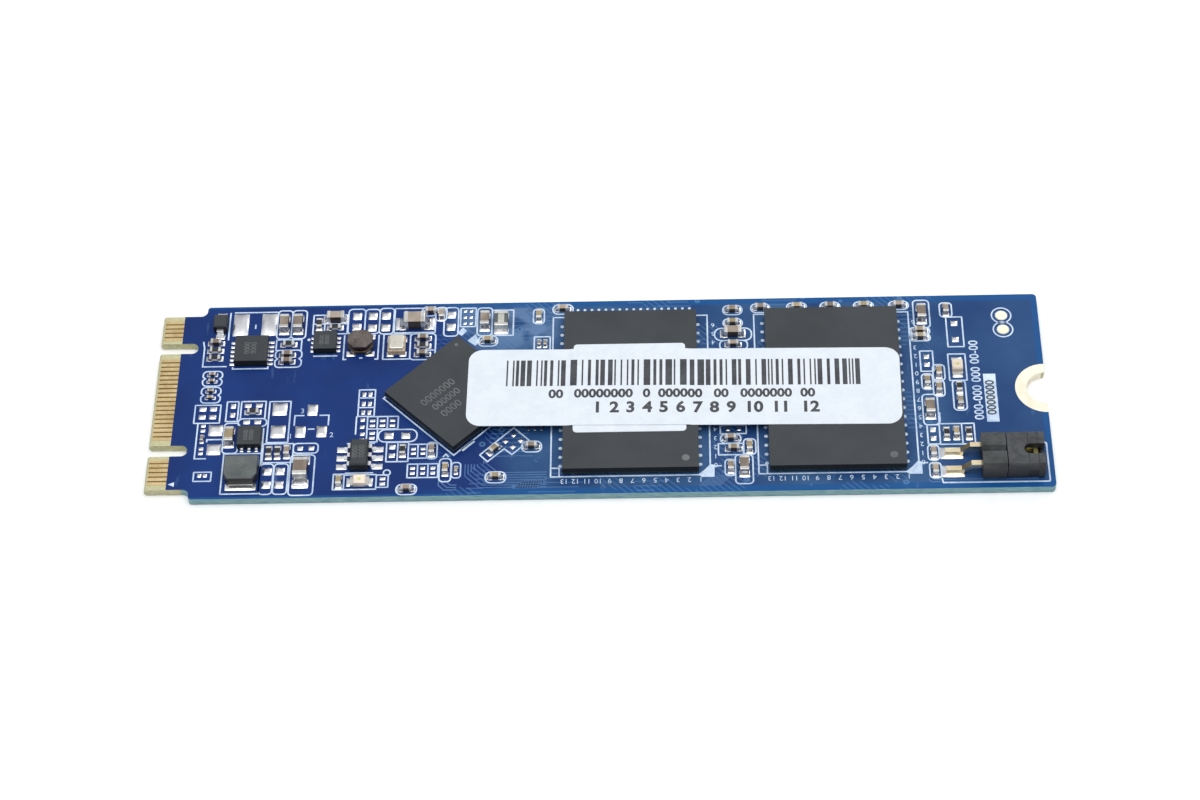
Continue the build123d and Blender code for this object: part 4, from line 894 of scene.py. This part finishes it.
# reach of the solder, distance between the two ends, length and width of one end
CHIP_ENDS = {
    "capacitor_terminals_0805": (0.62, 1.58, 0.42, 1.25),
    "capacitor_terminals_0603": (0.34, 1.28, 0.32, 0.8),
    "capacitor_terminals_0402": (0.26, 0.76, 0.24, 0.5),
    "resistor_terminals": (0.26, 0.78, 0.22, 0.5),
    "capacitor_terminals_0201": (0.17, 0.45, 0.15, 0.3),
}
fillets = Gatherer()
for node, (reach, apart, thick, wide) in CHIP_ENDS.items():
    islands = boxes_of(node)
    ends = np.array([(p[:, :2].min(0) + p[:, :2].max(0)) / 2 for p in islands])
    heights = np.array([p[:, 2].max() - CARD_TOP for p in islands])
    gap = np.linalg.norm(ends[:, None] - ends[None], axis=2) + np.eye(len(ends)) * 99
    mate = np.argmin(np.abs(gap - apart), axis=1)
    for end, other, tall in zip(ends, ends[mate], heights):
        outward = (end - other) / np.linalg.norm(end - other)
        fillet(fillets, end + outward * (thick / 2 - 0.01), outward, wide / 2, reach, tall * 0.6)
fillets.piece("solder_fillets", FINISHES["solder"], smooth=True)

# %% [markdown]
# ## Paper labels
# Two white labels lie one over the other. The long one is flat on the controller and the
# memories and climbs a fraction of a millimetre over the square one, so its height is a
# smooth step along its length. The corners are rounded by narrowing the sheet near its
# ends along a quarter circle.

# %% Paper sheets
PAPER = 0.06
POINTS_PER_MM = 12


def paper(name, node, length, width, radius, turn, height_at):
    """Sheet from two parameters: along its length, and across a width that the corners cut."""
    low, high = (np.array(corner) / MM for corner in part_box(node))
    centre = (low[:2] + high[:2]) / 2
    inner = np.linspace(-length / 2 + radius, length / 2 - radius,
                        POINTS_PER_MM * int(length))
    bend = radius * np.sin(np.linspace(0, math.pi / 2, 10)[1:])
    x = np.concatenate([inner[0] - bend[::-1], inner, inner[-1] + bend])
    over = np.clip(np.abs(x) - (length / 2 - radius), 0, radius)
    half = width / 2 - radius + np.sqrt(np.maximum(radius ** 2 - over ** 2, 0))
    v = np.linspace(-1, 1, 7)
    plan_x, plan_y = np.repeat(x[:, None], len(v), 1), half[:, None] * v[None]
    cos, sin = math.cos(turn), math.sin(turn)
    world_x = centre[0] + plan_x * cos - plan_y * sin
    world_y = centre[1] + plan_x * sin + plan_y * cos
    floor_z = height_at(world_x)
    sheet = np.dstack([world_x, world_y, floor_z])
    raised = sheet + np.array([0, 0, PAPER])
    section = np.concatenate([sheet, raised[:, ::-1]], axis=1)
    gather = Gatherer()
    gather.tube(section[:, ::-1])
    made = gather.piece(name, FINISHES["label_paper"])
    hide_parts(node)
    return centre


# %% [markdown]
# The long sheet's height is the package top, plus a rise where the square sheet lies
# under it: r * r * (3 - 2 r), which starts and ends level so that the paper shows no crease.

# %% Lay the two labels
PACKAGE_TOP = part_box("memory_1_mould_cap")[1][2] / MM
square_low, square_high = (corner[0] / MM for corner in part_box("label_square"))
RAMP = 0.6


def label_height(x):
    """Package top, plus one paper thickness where the square label lies underneath."""
    rise = np.clip((x - square_low + RAMP) / RAMP, 0, 1) * np.clip((square_high + RAMP - x) / RAMP, 0, 1)
    return PACKAGE_TOP + PAPER * rise * rise * (3 - 2 * rise)


LONG_TURN = math.radians(-0.7)
paper("square_paper_label", "label_square", 10.05, 10.05, 0.35, 0.0,
      lambda x: np.full_like(x, PACKAGE_TOP))
label_centre = paper("long_paper_label", "label_long", 38.7, 8.7, 1.3, LONG_TURN, label_height)


# %% [markdown]
# ## Ink on the label
# The label carries a bar code and two rows of numbers. The bars are drawn from a seeded
# random draw, so they encode nothing, and the numbers only count or are noughts.

# %% Bars and numbers on the long label
def on_label(flat_points):
    """Turn points from the label's own axes into the card's and lay them on the paper."""
    cos, sin = math.cos(LONG_TURN), math.sin(LONG_TURN)
    points = np.asarray(flat_points, float)
    x = label_centre[0] + points[:, 0] * cos - points[:, 1] * sin
    y = label_centre[1] + points[:, 0] * sin + points[:, 1] * cos
    return np.column_stack([x, y, label_height(x) + PAPER + points[:, 2]])


INK_FILM = 0.007
BARS_FROM, BARS_TO = -15.9, 16.05
BAR_FOOT, BAR_HEAD = 0.12, 3.08
BAR_STEP = 0.09
draw = np.random.default_rng(12)
bars = Gatherer()
cursor = BARS_FROM
while cursor < BARS_TO:
    wide = float(draw.choice([0.14, 0.27, 0.42, 0.6], p=[0.3, 0.36, 0.24, 0.1]))
    gap = float(draw.choice([0.15, 0.27, 0.42], p=[0.32, 0.44, 0.24]))
    across = [(BAR_FOOT, 0.0), (BAR_HEAD, 0.0), (BAR_HEAD, INK_FILM), (BAR_FOOT, INK_FILM)]
    places = np.linspace(cursor, min(cursor + wide, BARS_TO), 2 + int(wide / BAR_STEP))
    bars.tube([on_label([(x, y, h) for y, h in across]) for x in places])
    cursor += wide + gap


def label_row(text, x, y, size):
    """One run of digits, its points laid onto the paper."""
    row = Gatherer()
    lettering(row, text, x, y, size, 0.0, INK_FILM, weight=0.05)
    bars.take(on_label(np.concatenate(row.points)), row.faces)


NOUGHT_GROUPS = ((2, -11.4), (8, -7.15), (1, -3.3), (6, -0.3), (2, 3.35), (7, 7.35), (2, 11.05))
COUNT_PLACES = (0.0, 1.5, 2.95, 4.45, 5.9, 7.4, 8.9, 10.4, 11.9, 13.9, 16.3, 18.9)
for noughts, x in NOUGHT_GROUPS:
    label_row("0" * noughts, x, -0.83, 0.95)
for count, x in enumerate(COUNT_PLACES, 1):
    label_row(str(count), x - label_centre[0], -2.42, 1.2)
bars.piece("label_ink", INK)

# %% [markdown]
# ## Marks on the packages
# A laser burns the moulding compound a shade paler. The marks here are rows of noughts and
# the round dots that show pin one. They stand a few thousandths of a millimetre proud, so
# that they are seen, and the controller's rows turn with it by 45 degrees.

# %% Laser marks
CONTROLLER_ROWS = (("0000000", 0.6, 1.4, 0.8), ("000000", 0.6, 0.3, 0.75), ("0000", 0.2, -0.8, 0.8))
laser = Gatherer()
turn = math.radians(45)
for text, along, across, size in CONTROLLER_ROWS:
    x = centre[0] - 1.0 + along * math.cos(turn) - across * math.sin(turn)
    y = centre[1] - 1.6 + along * math.sin(turn) + across * math.cos(turn)
    lettering(laser, text, x, y, size, PACKAGE_TOP - 0.002, 0.005, turn)
for node, size in (("regulator_body", 0.5), ("load_switch_body", 0.5), ("converter_bodies", 0.42)):
    for island in boxes_of(node):
        x, y = (island.min(0) + island.max(0))[:2] / 2
        top = island[:, 2].max()
        for row in (-0.45, 0.35):
            lettering(laser, "0000", x + row * size * 1.5, y, size, top - 0.002, 0.005, math.pi / 2)
for x, y, radius in ((7.75, -7.97, 0.35), (26.0, -7.97, 0.35), (centre[0] - 0.1, centre[1] + 5.3, 0.17)):
    disc(laser, x, y, radius, PACKAGE_TOP - 0.002, 20, 0.006)
laser.piece("package_marks", LASER)
